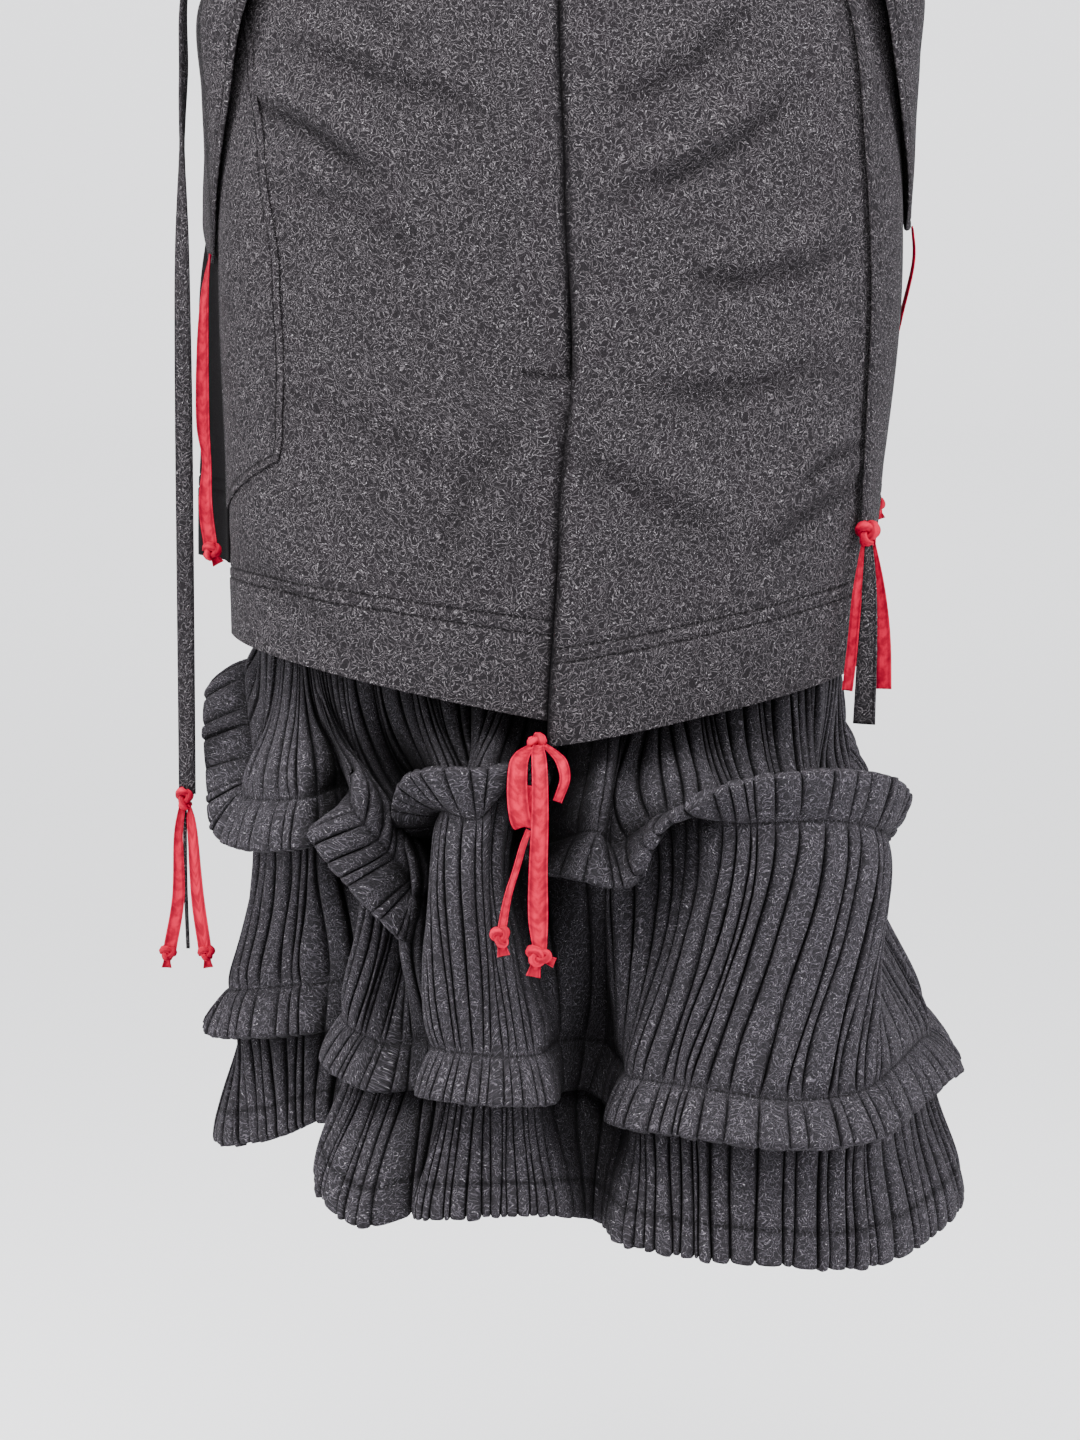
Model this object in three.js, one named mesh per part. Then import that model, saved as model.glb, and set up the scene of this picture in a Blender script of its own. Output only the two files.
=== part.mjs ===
// Ruffle skirt, worn form: a plain overskirt with a centre-front vent, long side flaps and
// tie straps, over a pleated underskirt that two wide tucks divide into three tiers.
// Millimetres, +Z up. The origin is the middle of the waist, and the front faces -Y.
// Angles round the body are in degrees: 90 back, 180 left, 270 front, 360 right.

import * as THREE from 'three';

// Cloth
const seamGap = 0.5;
const pleatedCloth = 1.5;
const plainCloth = 1.8;
const overlayCloth = 1.2;
const ribbonCloth = 1;
const bandThickness = 4;

// Underskirt
const pleatCount = 66;
const pointsPerPleat = 2;
const pleatDepth = 3.4;
const fullRoom = 15;
const tuckDepth = 28;
const leftSeamAt = 13.5;
const rightSeamAt = 56.5;
const yokeFoot = { z: -440, left: 166, right: 150, front: 102, back: 108 };

// Waist
const bandHeight = 40;
const waist = { halfWidth: 138, front: 96, back: 100 };
const roundSteps = 48;
const squareness = 0.9;

const charcoal = { color: 0x454347, roughness: 0.92, metalness: 0 };
const pleatCharcoal = { color: 0x38373b, roughness: 0.95, metalness: 0 };
const coral = { color: 0xd93a4c, roughness: 0.7, metalness: 0 };

const up = new THREE.Vector3(0, 0, 1);
const vector = (x, y, z) => new THREE.Vector3(x, y, z);
const radians = THREE.MathUtils.degToRad;
const mix = THREE.MathUtils.lerp;
const smooth = (from, to, value) => THREE.MathUtils.smoothstep(value, from, to);

// A table has its column names first, then a row for each section or fold.
function table(names, rows) {
  return rows.map((row) => Object.fromEntries(names.map((name, i) => [name, row[i]])));
}

// The value of a table's column at a key between its rows, eased from row to row.
function lookUp(rows, key, column, value) {
  const next = rows.findIndex((row, i) => i > 0 && Math.sign(rows[1][key] - rows[0][key])
    * (row[key] - value) >= 0);
  const to = rows[next < 0 ? rows.length - 1 : next];
  const from = rows[(next < 0 ? rows.length - 1 : next) - 1];
  const share = THREE.MathUtils.clamp((value - from[key]) / (to[key] - from[key]), 0, 1);
  return mix(from[column], to[column], (1 - Math.cos(Math.PI * share)) / 2);
}

// ---- Walls -------------------------------------------------------------------------------

// A cloth wall over rows of points: rows[j][i] runs along the cloth with i and down it with j.
// The inner face lies on the points and the outer face stands off them, on the side given. The
// first and last point of each row only turn the wall's sides square to the cloth beyond them.
function wallGeometry(rows, thickness, { closed = false, flip = false, relief = () => 0 } = {}) {
  const rowCount = rows.length;
  const given = rows[0].length;
  const beyond = closed ? 0 : 1;
  const count = given - 2 * beyond;
  const inner = [];
  const outer = [];
  for (let j = 0; j < rowCount; j++) {
    for (let i = beyond; i < given - beyond; i++) {
      const before = (i + given - 1) % given;
      const after = (i + 1) % given;
      const along = rows[j][after].clone().sub(rows[j][before]);
      const leaving = rows[Math.min(j + 1, rowCount - 1)][i].clone().sub(rows[Math.min(j, rowCount - 2)][i]).normalize();
      const coming = rows[Math.max(j, 1)][i].clone().sub(rows[Math.max(j - 1, 0)][i]).normalize();
      const face = coming.clone().add(leaving).cross(along).normalize().multiplyScalar(flip ? -1 : 1);
      const base = rows[j][i].clone().addScaledVector(face, relief(i, j));
      const inFold = leaving.clone().sub(coming).dot(face) > 0;
      const halfTurn = Math.max(Math.sqrt((1 + leaving.dot(coming)) / 2), 0.3);
      inner.push(base);
      outer.push(base.clone().addScaledVector(face, inFold ? thickness / halfTurn : thickness));
    }
  }
  const points = inner.concat(outer);
  const faces = [];
  const lift = inner.length;
  const quad = (a, b, c, d) => faces.push(a, b, c, a, c, d);
  const columns = closed ? count : count - 1;
  for (let j = 0; j < rowCount - 1; j++) {
    for (let i = 0; i < columns; i++) {
      const a = j * count + i;
      const b = j * count + (i + 1) % count;
      const c = b + count;
      const d = a + count;
      if (j === 0) {
        quad(b, c, d, a);
        quad(lift + c, lift + b, lift + a, lift + d);
      } else {
        quad(a, b, c, d);
        quad(lift + b, lift + a, lift + d, lift + c);
      }
    }
  }
  for (let i = 0; i < columns; i++) {
    const after = (i + 1) % count;
    const foot = (rowCount - 1) * count;
    quad(after, i, lift + i, lift + after);
    quad(foot + i, foot + after, lift + foot + after, lift + foot + i);
  }
  if (!closed) {
    for (let j = 0; j < rowCount - 1; j++) {
      const start = j * count;
      const end = start + count - 1;
      quad(start, start + count, lift + start + count, lift + start);
      quad(end, lift + end, lift + end + count, end + count);
    }
  }
  return solid(points, faces);
}

// A flat strip of cloth along table rows of x, y, z, width and the way its width faces.
function stripGeometry(rows, thickness) {
  const points = [];
  const faces = [];
  rows.forEach((row, j) => {
    const from = rows[Math.max(j - 1, 0)];
    const to = rows[Math.min(j + 1, rows.length - 1)];
    const run = vector(to.x - from.x, to.y - from.y, to.z - from.z).normalize();
    const across = direction(row.faces, 0).addScaledVector(run, -direction(row.faces, 0).dot(run));
    across.normalize().multiplyScalar(row.width / 2);
    const through = run.clone().cross(across).normalize().multiplyScalar(thickness / 2);
    for (const [side, layer] of [[-1, -1], [1, -1], [1, 1], [-1, 1]]) {
      points.push(vector(row.x, row.y, row.z).addScaledVector(across, side)
        .addScaledVector(through, layer));
    }
  });
  const quad = (a, b, c, d) => faces.push(a, b, c, a, c, d);
  for (let j = 0; j < rows.length - 1; j++) {
    for (let k = 0; k < 4; k++) {
      const a = j * 4 + k;
      const b = j * 4 + (k + 1) % 4;
      quad(a, b, b + 4, a + 4);
    }
  }
  const last = points.length - 4;
  quad(3, 2, 1, 0);
  quad(last, last + 1, last + 2, last + 3);
  return solid(points, faces);
}

// Points and triangles as one closed body, with its faces turned outwards.
function solid(points, faces) {
  let volume = 0;
  for (let k = 0; k < faces.length; k += 3) {
    const [a, b, c] = [points[faces[k]], points[faces[k + 1]], points[faces[k + 2]]];
    volume += a.dot(b.clone().cross(c));
  }
  const turned = volume < 0 ? faces.map((_, k) => faces[k - (k % 3) + 2 - (k % 3)]) : faces;
  const geometry = new THREE.BufferGeometry();
  const position = new Float32Array(points.flatMap((point) => point.toArray()));
  geometry.setAttribute('position', new THREE.BufferAttribute(position, 3));
  geometry.setIndex(turned);
  geometry.computeVertexNormals();
  return geometry;
}

// The unit direction at an angle round the body, tilted up by the lean.
function direction(angle, lean) {
  const level = Math.cos(radians(lean));
  return vector(level * Math.cos(radians(angle)), level * Math.sin(radians(angle)), Math.sin(radians(lean)));
}

// A level ring round the body, a little squarer than an ellipse.
function ringPoint({ halfWidth, left = halfWidth, right = halfWidth, front, back }, angle, z) {
  const [x, y] = [Math.cos(radians(angle)), Math.sin(radians(angle))];
  const [wide, deep] = [x, y].map((part) => Math.sign(part) * Math.abs(part) ** squareness);
  return vector(wide * (x < 0 ? left : right), deep * (y < 0 ? front : back), z);
}

// The point at share t of a smooth run of cloth that leaves a along leave and reaches b along reach.
function drape(a, leave, b, reach, t) {
  const [t2, t3] = [t * t, t * t * t];
  return a.clone().multiplyScalar(2 * t3 - 3 * t2 + 1).addScaledVector(leave, t3 - 2 * t2 + t)
    .addScaledVector(b, 3 * t2 - 2 * t3).addScaledVector(reach, t3 - t2);
}

// ---- Underskirt --------------------------------------------------------------------------

// Both tucks and the hem run round the body through their folds. "at" counts pleats from the
// middle of the back, "hangs" is where the fold hangs from on the yoke, and the tuck's flange
// points along "aim", tilted up by "lean". "flow" is how far the cloth follows the flange there,
// from none, where it drops straight down, to all.
const tuckColumns = ['fold', 'at', 'hangs', 'x', 'y', 'z', 'aim', 'lean', 'flow'];
const upperTuck = table(tuckColumns, [
  ['back dip', 0, 90, 0, 132, -532, 90, -60, 1],
  ['back left crest', 3.3, 106, -66, 152, -512, 105, -50, 1],
  ['back left dip', 6.3, 123, -122, 120, -540, 128, -62, 1],
  ['left back crest', 9.1, 147, -170, 84, -518, 148, -50, 1],
  ['left lobe', 12, 170, -198, 30, -493, 172, -38, 1],
  ['left lobe foot', 15, 193, -198, -20, -542, 188, -38, 1],
  ['left panel corner', 16.5, 201, -191, -45, -565, 205, -62, 1],
  ['left panel', 19.5, 211, -144, -105, -560, 238, -72, 1],
  ['left panel turn', 20.8, 214, -117, -94, -554, 250, -85, 1],
  ['slant fold tip', 22.5, 216, -138, -125, -549, 206, -46, 0.4],
  ['slant fold', 25.1, 221, -100, -135, -593, 220, -34, 0.2],
  ['slant fold foot', 26.5, 225, -86, -124, -608, 237, -53, 0.1],
  ['inner rise', 28.5, 233, -84, -92, -586, 198, -43, 0.1],
  ['centre lobe side', 30.6, 242, -94, -122, -540, 189, 10, 0.3],
  ['centre lobe corner', 32.3, 246, -84, -148, -512, 228, 58, 1],
  ['centre lobe top', 34, 254, -48, -165, -506, 262, 80, 1],
  ['centre lobe end', 35.8, 262.5, -10, -155, -508, 286, 66, 1],
  ['dip start', 38.5, 271, -22, -135, -560, 264, -14, 0.5],
  ['dip', 40.2, 277, 8, -152, -569, 270, -68, 1],
  ['dip end', 41.4, 282, 33, -155, -571, 272, -58, 1],
  ['right lobe rise', 43.2, 288, 49, -168, -538, 266, 4, 1],
  ['right lobe shoulder', 45.2, 296, 84, -180, -513, 272, 56, 1],
  ['right lobe top', 48.2, 312, 150, -157, -508, 296, 82, 1],
  ['right lobe end', 50.8, 328, 183, -108, -526, 322, 76, 1],
  ['right side', 53, 341, 178, -70, -558, 345, 12, 1],
  ['right back side', 56, 358, 174, 0, -560, 360, -52, 1],
  ['right back crest', 59.5, 380, 152, 64, -520, 385, -50, 1],
  ['right back dip', 63, 408, 90, 112, -545, 414, -60, 1],
]);
const lowerTuck = table(tuckColumns, [
  ['back', 0, 90, 0, 150, -655, 90, -55, 1],
  ['back left crest', 3.3, 106, -66, 170, -676, 105, -50, 1],
  ['back left dip', 6.3, 123, -124, 132, -652, 130, -60, 1],
  ['left back crest', 9.1, 141, -176, 96, -680, 150, -50, 1],
  ['left side', 12, 160, -201, 42, -684, 170, -50, 1],
  ['left front side', 15, 178, -201, 5, -682, 184, -54, 1],
  ['left corner', 16.5, 186, -195, -23, -681, 205, -58, 1],
  ['left panel', 19.5, 207, -143, -58, -672, 240, -68, 1],
  ['left recess', 20.8, 214, -115, -60, -668, 258, -80, 1],
  ['slant fold', 22.5, 219, -133, -84, -680, 215, -68, 1],
  ['slant fold middle', 25.1, 227, -108, -112, -692, 240, -62, 0.8],
  ['slant fold end', 26.8, 233, -76, -113, -691, 262, -74, 0.4],
  ['inner turn', 28.5, 237, -62, -122, -689, 280, -85, 0.4],
  ['centre lobe corner', 30.6, 242, -80, -145, -688, 228, -68, 0.7],
  ['centre lobe', 34, 254, -46, -161, -689, 268, -58, 1],
  ['centre lobe end', 37, 266, -10, -154, -691, 292, -68, 1],
  ['recess side', 38.8, 272, -3, -120, -691, 300, -84, 1],
  ['recess', 40.2, 277, 11, -103, -694, 270, -80, 1],
  ['recess end', 41.6, 282, 27, -116, -702, 255, -80, 1],
  ['right lobe corner', 43.2, 288, 24, -142, -704, 240, -66, 1],
  ['right lobe', 46, 300, 62, -166, -705, 266, -58, 1],
  ['right lobe middle', 48.5, 313, 120, -176, -710, 276, -56, 1],
  ['right lobe end', 50.8, 328, 168, -148, -711, 308, -60, 1],
  ['right notch', 52.4, 337, 187, -112, -706, 328, -68, 1],
  ['right flare', 54.5, 348, 212, -58, -698, 345, -52, 1],
  ['right side', 57, 364, 221, -6, -702, 362, -50, 1],
  ['right back', 60, 384, 200, 62, -684, 382, -52, 1],
  ['right back dip', 63, 408, 118, 128, -662, 412, -58, 1],
]);
const hem = table(['fold', 'at', 'x', 'y', 'z'], [
  ['back', 0, 0, 142, -752],
  ['back left', 4, -80, 158, -764],
  ['left back', 8, -152, 112, -752],
  ['left side', 12, -195, 54, -752],
  ['left corner', 15, -194, 18, -750],
  ['left panel', 17.5, -165, -20, -738],
  ['left recess', 20, -137, -35, -725],
  ['left recess end', 21.3, -118, -46, -723],
  ['slant fold', 23, -135, -80, -748],
  ['slant fold foot', 26, -111, -119, -765],
  ['slant fold end', 27, -84, -118, -758],
  ['inner turn', 28.7, -70, -124, -756],
  ['centre left', 30.6, -82, -134, -757],
  ['centre', 34, -44, -141, -754],
  ['centre right', 38, -6, -139, -754],
  ['recess', 40.5, 17, -114, -763],
  ['right lobe corner', 43, 36, -141, -770],
  ['right lobe', 46, 72, -151, -774],
  ['right lobe middle', 48.5, 116, -151, -778],
  ['right lobe end', 51, 155, -131, -784],
  ['right front side', 53, 188, -94, -784],
  ['right side', 56, 220, -26, -773],
  ['right back', 59, 208, 42, -764],
  ['right back dip', 62.5, 140, 112, -756],
]);

// How far down each tier's drape its rows of points lie, and how full the pleats stand there.
const upperRows = table(['down', 'fullness'], [
  [0, 0.5], [0.28, 1], [0.52, 1], [0.72, 1], [0.88, 0.9],
]);
const middleRows = table(['down', 'fullness'], [
  [0.14, 0.9], [0.38, 1], [0.64, 1], [0.86, 0.9],
]);
const lowerRows = table(['down', 'fullness'], [
  [0.16, 0.9], [0.45, 1], [0.75, 1], [1, 0.9],
]);
const stitchFullness = 0;
const edgeFullness = 0.25;

// The smooth closed line through points at a table's folds, as a function of the pleat count.
function foldLine(rows, points) {
  const curve = new THREE.CatmullRomCurve3(points, true, 'centripetal');
  return (at) => {
    const { index, share } = foldBefore(rows, at);
    return curve.getPoint((index + share) / rows.length);
  };
}

// The fold before a pleat, and the share of the way on to the next fold.
function foldBefore(rows, at) {
  const round = ((at % pleatCount) + pleatCount) % pleatCount;
  const index = rows.findLastIndex((row) => row.at <= round);
  const next = index + 1 < rows.length ? rows[index + 1].at : pleatCount;
  return { index, share: (round - rows[index].at) / (next - rows[index].at) };
}

// The angle on the yoke from which a pleat hangs, eased from fold to fold.
function hangAngle(at) {
  const { index, share } = foldBefore(upperTuck, at);
  const last = index + 1 === upperTuck.length;
  const next = upperTuck[last ? 0 : index + 1].hangs + (last ? 360 : 0);
  return mix(upperTuck[index].hangs, next, (1 - Math.cos(Math.PI * share)) / 2);
}

// A tuck as a function of the pleat count: its folded edge, the stitched line a tuck's depth
// behind the edge, the way its flange points, and the side on which the cloth from above lies.
function tuckLines(rows) {
  const edges = rows.map((row) => vector(row.x, row.y, row.z));
  const stitches = rows.map((row, k) => {
    const along = edges[(k + 1) % rows.length].clone().sub(edges[(k + rows.length - 1) % rows.length]);
    const tip = direction(row.aim, row.lean);
    tip.addScaledVector(along, -tip.dot(along) / along.lengthSq()).normalize();
    return edges[k].clone().addScaledVector(tip, -tuckDepth);
  });
  const edgeLine = foldLine(rows, edges);
  const stitchLine = foldLine(rows, stitches);
  const step = 0.2;
  return (at) => {
    const [edge, stitch] = [edgeLine(at), stitchLine(at)];
    const along = edgeLine(at + step).sub(edgeLine(at - step)).normalize();
    const tip = edge.clone().sub(stitch).normalize();
    const { index, share } = foldBefore(rows, at);
    const flow = mix(rows[index].flow, rows[(index + 1) % rows.length].flow, share);
    return { edge, stitch, along, tip, side: tip.clone().cross(along).normalize(), flow };
  };
}

const upperTuckAt = tuckLines(upperTuck);
const lowerTuckAt = tuckLines(lowerTuck);
const hemLine = foldLine(hem, hem.map((row) => vector(row.x, row.y, row.z)));

// The way in which cloth comes down to a tuck's stitched line, from its own side where the
// flange turns up or its edge runs up and down.
function reachTuck({ tip, side, along, flow }) {
  const apart = Math.max(tip.z, Math.abs(along.z), 0);
  const follow = tip.clone().addScaledVector(up, -0.5).addScaledVector(side, -0.8 * apart).normalize();
  return follow.multiplyScalar(flow).addScaledVector(up, flow - 1);
}

// The way in which cloth leaves a tuck's stitched line, clear of the flange that hangs before it.
function leaveTuck({ tip, side, along }) {
  const apart = Math.max(-tip.z, Math.abs(along.z), 0);
  return tip.clone().negate().addScaledVector(up, -2.4).addScaledVector(side, -0.9 * apart).normalize();
}

// One layer of a flange, half a seam gap from the layer folded against it.
function flangeLayer(tuck, layer) {
  const offset = tuck.side.clone().multiplyScalar(layer * seamGap / 2);
  return { edge: tuck.edge.clone().add(offset), stitch: tuck.stitch.clone().add(offset) };
}

function upperTierAt(at) {
  const tuck = upperTuckAt(at);
  const layer = flangeLayer(tuck, 1);
  const top = ringPoint(yokeFoot, hangAngle(at), yokeFoot.z - seamGap);
  const reach = top.distanceTo(layer.stitch);
  const leave = up.clone().multiplyScalar(-2.1 * reach);
  const arrive = reachTuck(tuck).multiplyScalar(reach);
  const fall = upperRows.map(({ down }) => drape(top, leave, layer.stitch, arrive, down));
  return [...fall, layer.stitch, layer.edge];
}

function middleTierAt(at) {
  const above = upperTuckAt(at);
  const below = lowerTuckAt(at);
  const [head, foot] = [flangeLayer(above, -1), flangeLayer(below, 1)];
  const reach = head.stitch.distanceTo(foot.stitch);
  const leave = leaveTuck(above).multiplyScalar(reach);
  const arrive = reachTuck(below).multiplyScalar(0.8 * reach);
  const fall = middleRows.map(({ down }) => drape(head.stitch, leave, foot.stitch, arrive, down));
  return [head.edge, head.stitch, ...fall, foot.stitch, foot.edge];
}

function lowerTierAt(at) {
  const above = lowerTuckAt(at);
  const head = flangeLayer(above, -1);
  const foot = hemLine(at);
  const reach = head.stitch.distanceTo(foot);
  const leave = leaveTuck(above).multiplyScalar(0.9 * reach);
  const arrive = up.clone().multiplyScalar(-0.7 * reach);
  const fall = lowerRows.map(({ down }) => drape(head.stitch, leave, foot, arrive, down));
  return [head.edge, head.stitch, ...fall];
}

const fullness = (rows) => rows.map((row) => row.fullness);
const tiers = [
  { name: 'upper_tier', columnAt: upperTierAt, full: [...fullness(upperRows), stitchFullness, edgeFullness] },
  {
    name: 'middle_tier',
    columnAt: middleTierAt,
    full: [edgeFullness, stitchFullness, ...fullness(middleRows), stitchFullness, edgeFullness],
  },
  { name: 'lower_tier', columnAt: lowerTierAt, full: [edgeFullness, stitchFullness, ...fullness(lowerRows)] },
];

// The pleats between two side seams, each a ridge and a groove, with a stop beyond each seam.
function pleatStops(from, to) {
  const inset = 0.035;
  const beyond = 0.5;
  const stops = [{ at: from - beyond, ridge: 0 }, { at: from + inset, ridge: 0.5 }];
  const first = Math.ceil(from * pointsPerPleat + 0.5);
  for (let k = first; k < to * pointsPerPleat - 0.4; k++) {
    stops.push({ at: k / pointsPerPleat, ridge: k % pointsPerPleat });
  }
  stops.push({ at: to - inset, ridge: 0.5 }, { at: to + beyond, ridge: 0 });
  return stops;
}

function tierGeometry({ columnAt, full }, from, to) {
  const stops = pleatStops(from, to);
  const columns = stops.map(({ at }) => columnAt(at));
  const rows = full.map((_, j) => columns.map((column) => column[j]));
  const room = (i, j) => Math.min(rows[j][i - 1].distanceTo(rows[j][i + 1]) / fullRoom, 1);
  const relief = (i, j) => pleatDepth * stops[i].ridge * full[j] * room(i, j) ** 2;
  return wallGeometry(rows, pleatedCloth, { relief });
}

// The yoke that carries the pleats from the waistband, plain and out of sight.
const yokeSections = table(['z', 'left', 'right', 'front', 'back'], [
  [-bandHeight - 0.8, waist.halfWidth - 3, waist.halfWidth - 3, waist.front - 3, waist.back - 3],
  [-110, 160, 160, 98, 106],
  [-220, 168, 164, 104, 112],
  [yokeFoot.z, yokeFoot.left, yokeFoot.right, yokeFoot.front, yokeFoot.back],
]);
const yokeCloth = 1.2;

// Angles across a panel between two side seams, just clear of them, with one beyond each side.
function sideStops(from, to, steps) {
  const inset = 0.08;
  const beyond = 2;
  const across = Array.from({ length: steps + 1 }, (_, i) => mix(from + inset, to - inset, i / steps));
  return [from - beyond, ...across, to + beyond];
}

function yokeGeometry(from, to) {
  const steps = roundSteps / 2;
  const rows = yokeSections.map((section) => sideStops(from, to, steps)
    .map((angle) => ringPoint(section, angle, section.z)));
  return wallGeometry(rows, yokeCloth);
}

// ---- Overskirt ---------------------------------------------------------------------------

const bodySections = table(['z', 'left', 'right', 'front', 'back'], [
  [-bandHeight, waist.halfWidth, waist.halfWidth, waist.front, waist.back],
  [-75, 166, 166, 106, 114],
  [-115, 180, 178, 114, 126],
  [-180, 186, 182, 120, 134],
  [-270, 187, 183, 125, 137],
  [-360, 184, 174, 127, 134],
  [-500, 182, 160, 129, 128],
]);
// Flutes in which the overskirt's cloth swings out, each with its height down to the hem.
const flutes = table(['angle', 'spread', 'hip', 'thigh', 'foot'], [
  [162, 11, 10, 24, 29],
  [120, 16, 2, 5, 9],
  [72, 15, 2, 5, 8],
  [40, 14, 2, 5, 9],
]);
const bodySeams = { left: 183, right: 357 };
const backHem = table(['angle', 'z'], [[0, -417], [45, -425], [90, -430], [135, -424], [183, -417]]);
// The centre-front line, a seam down to the vent and the edge of the right panel below it.
const frontLine = table(['z', 'x'], [[-40, -4], [-110, -4], [-200, -1], [-288, 3], [-380, -4], [-505, -10]]);
const vent = { top: -296, full: -336, underlap: 26, lift: 3.4, liftReach: 50 };
// The front hem falls in two straight lines to the vent.
const frontHem = {
  left: { side: -455, centre: -496 },
  right: { side: -469, centre: -502 },
};

function bodyPoint(angle, z, lift = 0) {
  const section = Object.fromEntries(['left', 'right', 'front', 'back'].map((side) => (
    [side, sectionAt(bodySections, side, z) + lift])));
  const point = ringPoint(section, angle, z);
  const round = ((angle % 360) + 360) % 360;
  for (const flute of flutes) {
    const away = (round - flute.angle) / flute.spread;
    point.addScaledVector(direction(angle, 0), fluteHeight(flute, z) * Math.exp(-away * away));
  }
  return point;
}

// A flute grows from nothing at the waist, over the hip and the thigh, to its height at the hem.
function fluteHeight(flute, z) {
  return lookUp([
    { z: -bandHeight, h: 0 }, { z: -180, h: flute.hip }, { z: -290, h: flute.thigh }, { z: -430, h: flute.foot },
  ], 'z', 'h', z);
}

// A section's size between the table's rows, on a smooth line through them.
function sectionAt(rows, column, z) {
  const last = rows.length - 1;
  const found = rows.findIndex((row) => row.z <= z);
  const k = THREE.MathUtils.clamp(found < 0 ? last : found, 1, last);
  const share = THREE.MathUtils.clamp((z - rows[k - 1].z) / (rows[k].z - rows[k - 1].z), 0, 1);
  const near = (i) => rows[THREE.MathUtils.clamp(i, 0, last)][column];
  const [a, b] = [near(k - 1), near(k)];
  const [leave, reach] = [(b - near(k - 2)) / 2, (near(k + 1) - a) / 2];
  return drape(vector(a, 0, 0), vector(leave, 0, 0), vector(b, 0, 0), vector(reach, 0, 0), share).x;
}

// The angle round the body of a point on the front with a given x.
function frontAngle(x, z) {
  const side = sectionAt(bodySections, x < 0 ? 'left' : 'right', z);
  const share = Math.min(Math.abs(x) / side, 1) ** (1 / squareness);
  return 270 + Math.sign(x) * THREE.MathUtils.radToDeg(Math.asin(share));
}

// Rows of points down a panel whose side angles depend on the height.
function panelRows({ across, down, top, angles, foot, lift = () => 0 }) {
  return Array.from({ length: down + 1 }, (_, j) => Array.from({ length: across + 3 }, (_, i) => {
    const share = (i - 1) / across;
    const z = mix(top, foot(share), j / down);
    const { from, to } = angles(z);
    const angle = mix(from, to, share);
    return bodyPoint(angle, z, lift(bodyPoint(angle, z)));
  }));
}

const panelTop = -bandHeight - 1.4;
const ventShare = (z) => 1 - smooth(vent.full, vent.top, z);

function leftFrontRows() {
  return panelRows({
    across: 16,
    down: 12,
    top: panelTop,
    foot: (share) => mix(frontHem.left.side, frontHem.left.centre, share),
    angles: (z) => ({
      from: bodySeams.left + 0.08,
      to: frontAngle(lookUp(frontLine, 'z', 'x', z) - seamGap / 2 + vent.underlap * ventShare(z), z),
    }),
  });
}

// The right panel stands proud of the left one where it laps over it beside the vent.
function rightFrontRows() {
  const overlap = vent.underlap + 8;
  return panelRows({
    across: 16,
    down: 12,
    top: panelTop,
    foot: (share) => mix(frontHem.right.centre, frontHem.right.side, share),
    angles: (z) => ({
      from: frontAngle(lookUp(frontLine, 'z', 'x', z) + seamGap / 2, z),
      to: bodySeams.right - 0.08,
    }),
    lift: ({ x, z }) => {
      const along = 1 - smooth(vent.top + 10, vent.top + 60, z);
      const across = 1 - smooth(overlap, overlap + vent.liftReach, x - lookUp(frontLine, 'z', 'x', z));
      return vent.lift * along * across;
    },
  });
}

function backRows() {
  return panelRows({
    across: 26,
    down: 10,
    top: panelTop,
    foot: (share) => lookUp(backHem, 'angle', 'z', mix(0, 183, share)),
    angles: () => ({ from: bodySeams.right - 360 + 0.08, to: bodySeams.left - 0.08 }),
  });
}

// The curved side pocket lies on the left front panel, from the side seam to its curved edge.
const pocketEdge = table(['z', 'x'], [
  [-100, -172], [-140, -166], [-185, -160], [-255, -152], [-300, -150], [-335, -151], [-362, -154],
]);
const pocketFoot = { side: -386, edge: -352 };

function pocketRows() {
  const clear = plainCloth + 1;
  return panelRows({
    across: 6,
    down: 9,
    top: -104,
    foot: (share) => mix(pocketFoot.side, pocketFoot.edge, share),
    angles: (z) => ({ from: bodySeams.left + 1, to: frontAngle(lookUp(pocketEdge, 'z', 'x', z), z) }),
    lift: () => clear,
  });
}

// Each side flap is sewn down below the waistband, stands off the hip and narrows to its point.
const flapTop = { z: panelTop - 0.4, front: 24, back: 30, clear: 1.3 };
const flapSections = table(['z', 'front', 'back', 'off'], [
  [-66, 26, 32, 8],
  [-100, 27, 30, 18],
  [-147, 21, 27, 11],
  [-178, 15, 22, 8],
  [-204, 9, 17, 6.5],
  [-222, 4, 11, 5],
  [-240, -2, 4, 4],
]);
const flaps = table(['name', 'seam', 'turn', 'drop'], [
  ['side_flap_left', 180, 1, -12],
  ['side_flap_right', 360, -1, 6],
]);

function flapRows({ seam, turn, drop }) {
  const across = 8;
  const shares = Array.from({ length: across + 3 }, (_, i) => (i - 1) / across);
  const angleAt = ({ front, back }, share) => seam + turn * mix(front, -back, share);
  const sewn = shares.map((share) => bodyPoint(angleAt(flapTop, share), flapTop.z, plainCloth + flapTop.clear));
  return [sewn, ...flapSections.map((section) => shares.map((share) => {
    const belly = 1 - 0.35 * Math.abs(share * 2 - 1);
    return bodyPoint(angleAt(section, share), section.z + drop, 1.2 + section.off * belly);
  }))];
}

// ---- Straps, ribbons and knots -----------------------------------------------------------

// A strip that lies on the overskirt takes its course from the angle round the body.
function layOn(rows) {
  return rows.map(({ angle, z, off, width }) => {
    const point = bodyPoint(angle, z, plainCloth + off);
    const along = bodyPoint(angle + 1, z, plainCloth + off).sub(bodyPoint(angle - 1, z, plainCloth + off));
    return { x: point.x, y: point.y, z, width, faces: THREE.MathUtils.radToDeg(Math.atan2(along.y, along.x)) };
  });
}

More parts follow.
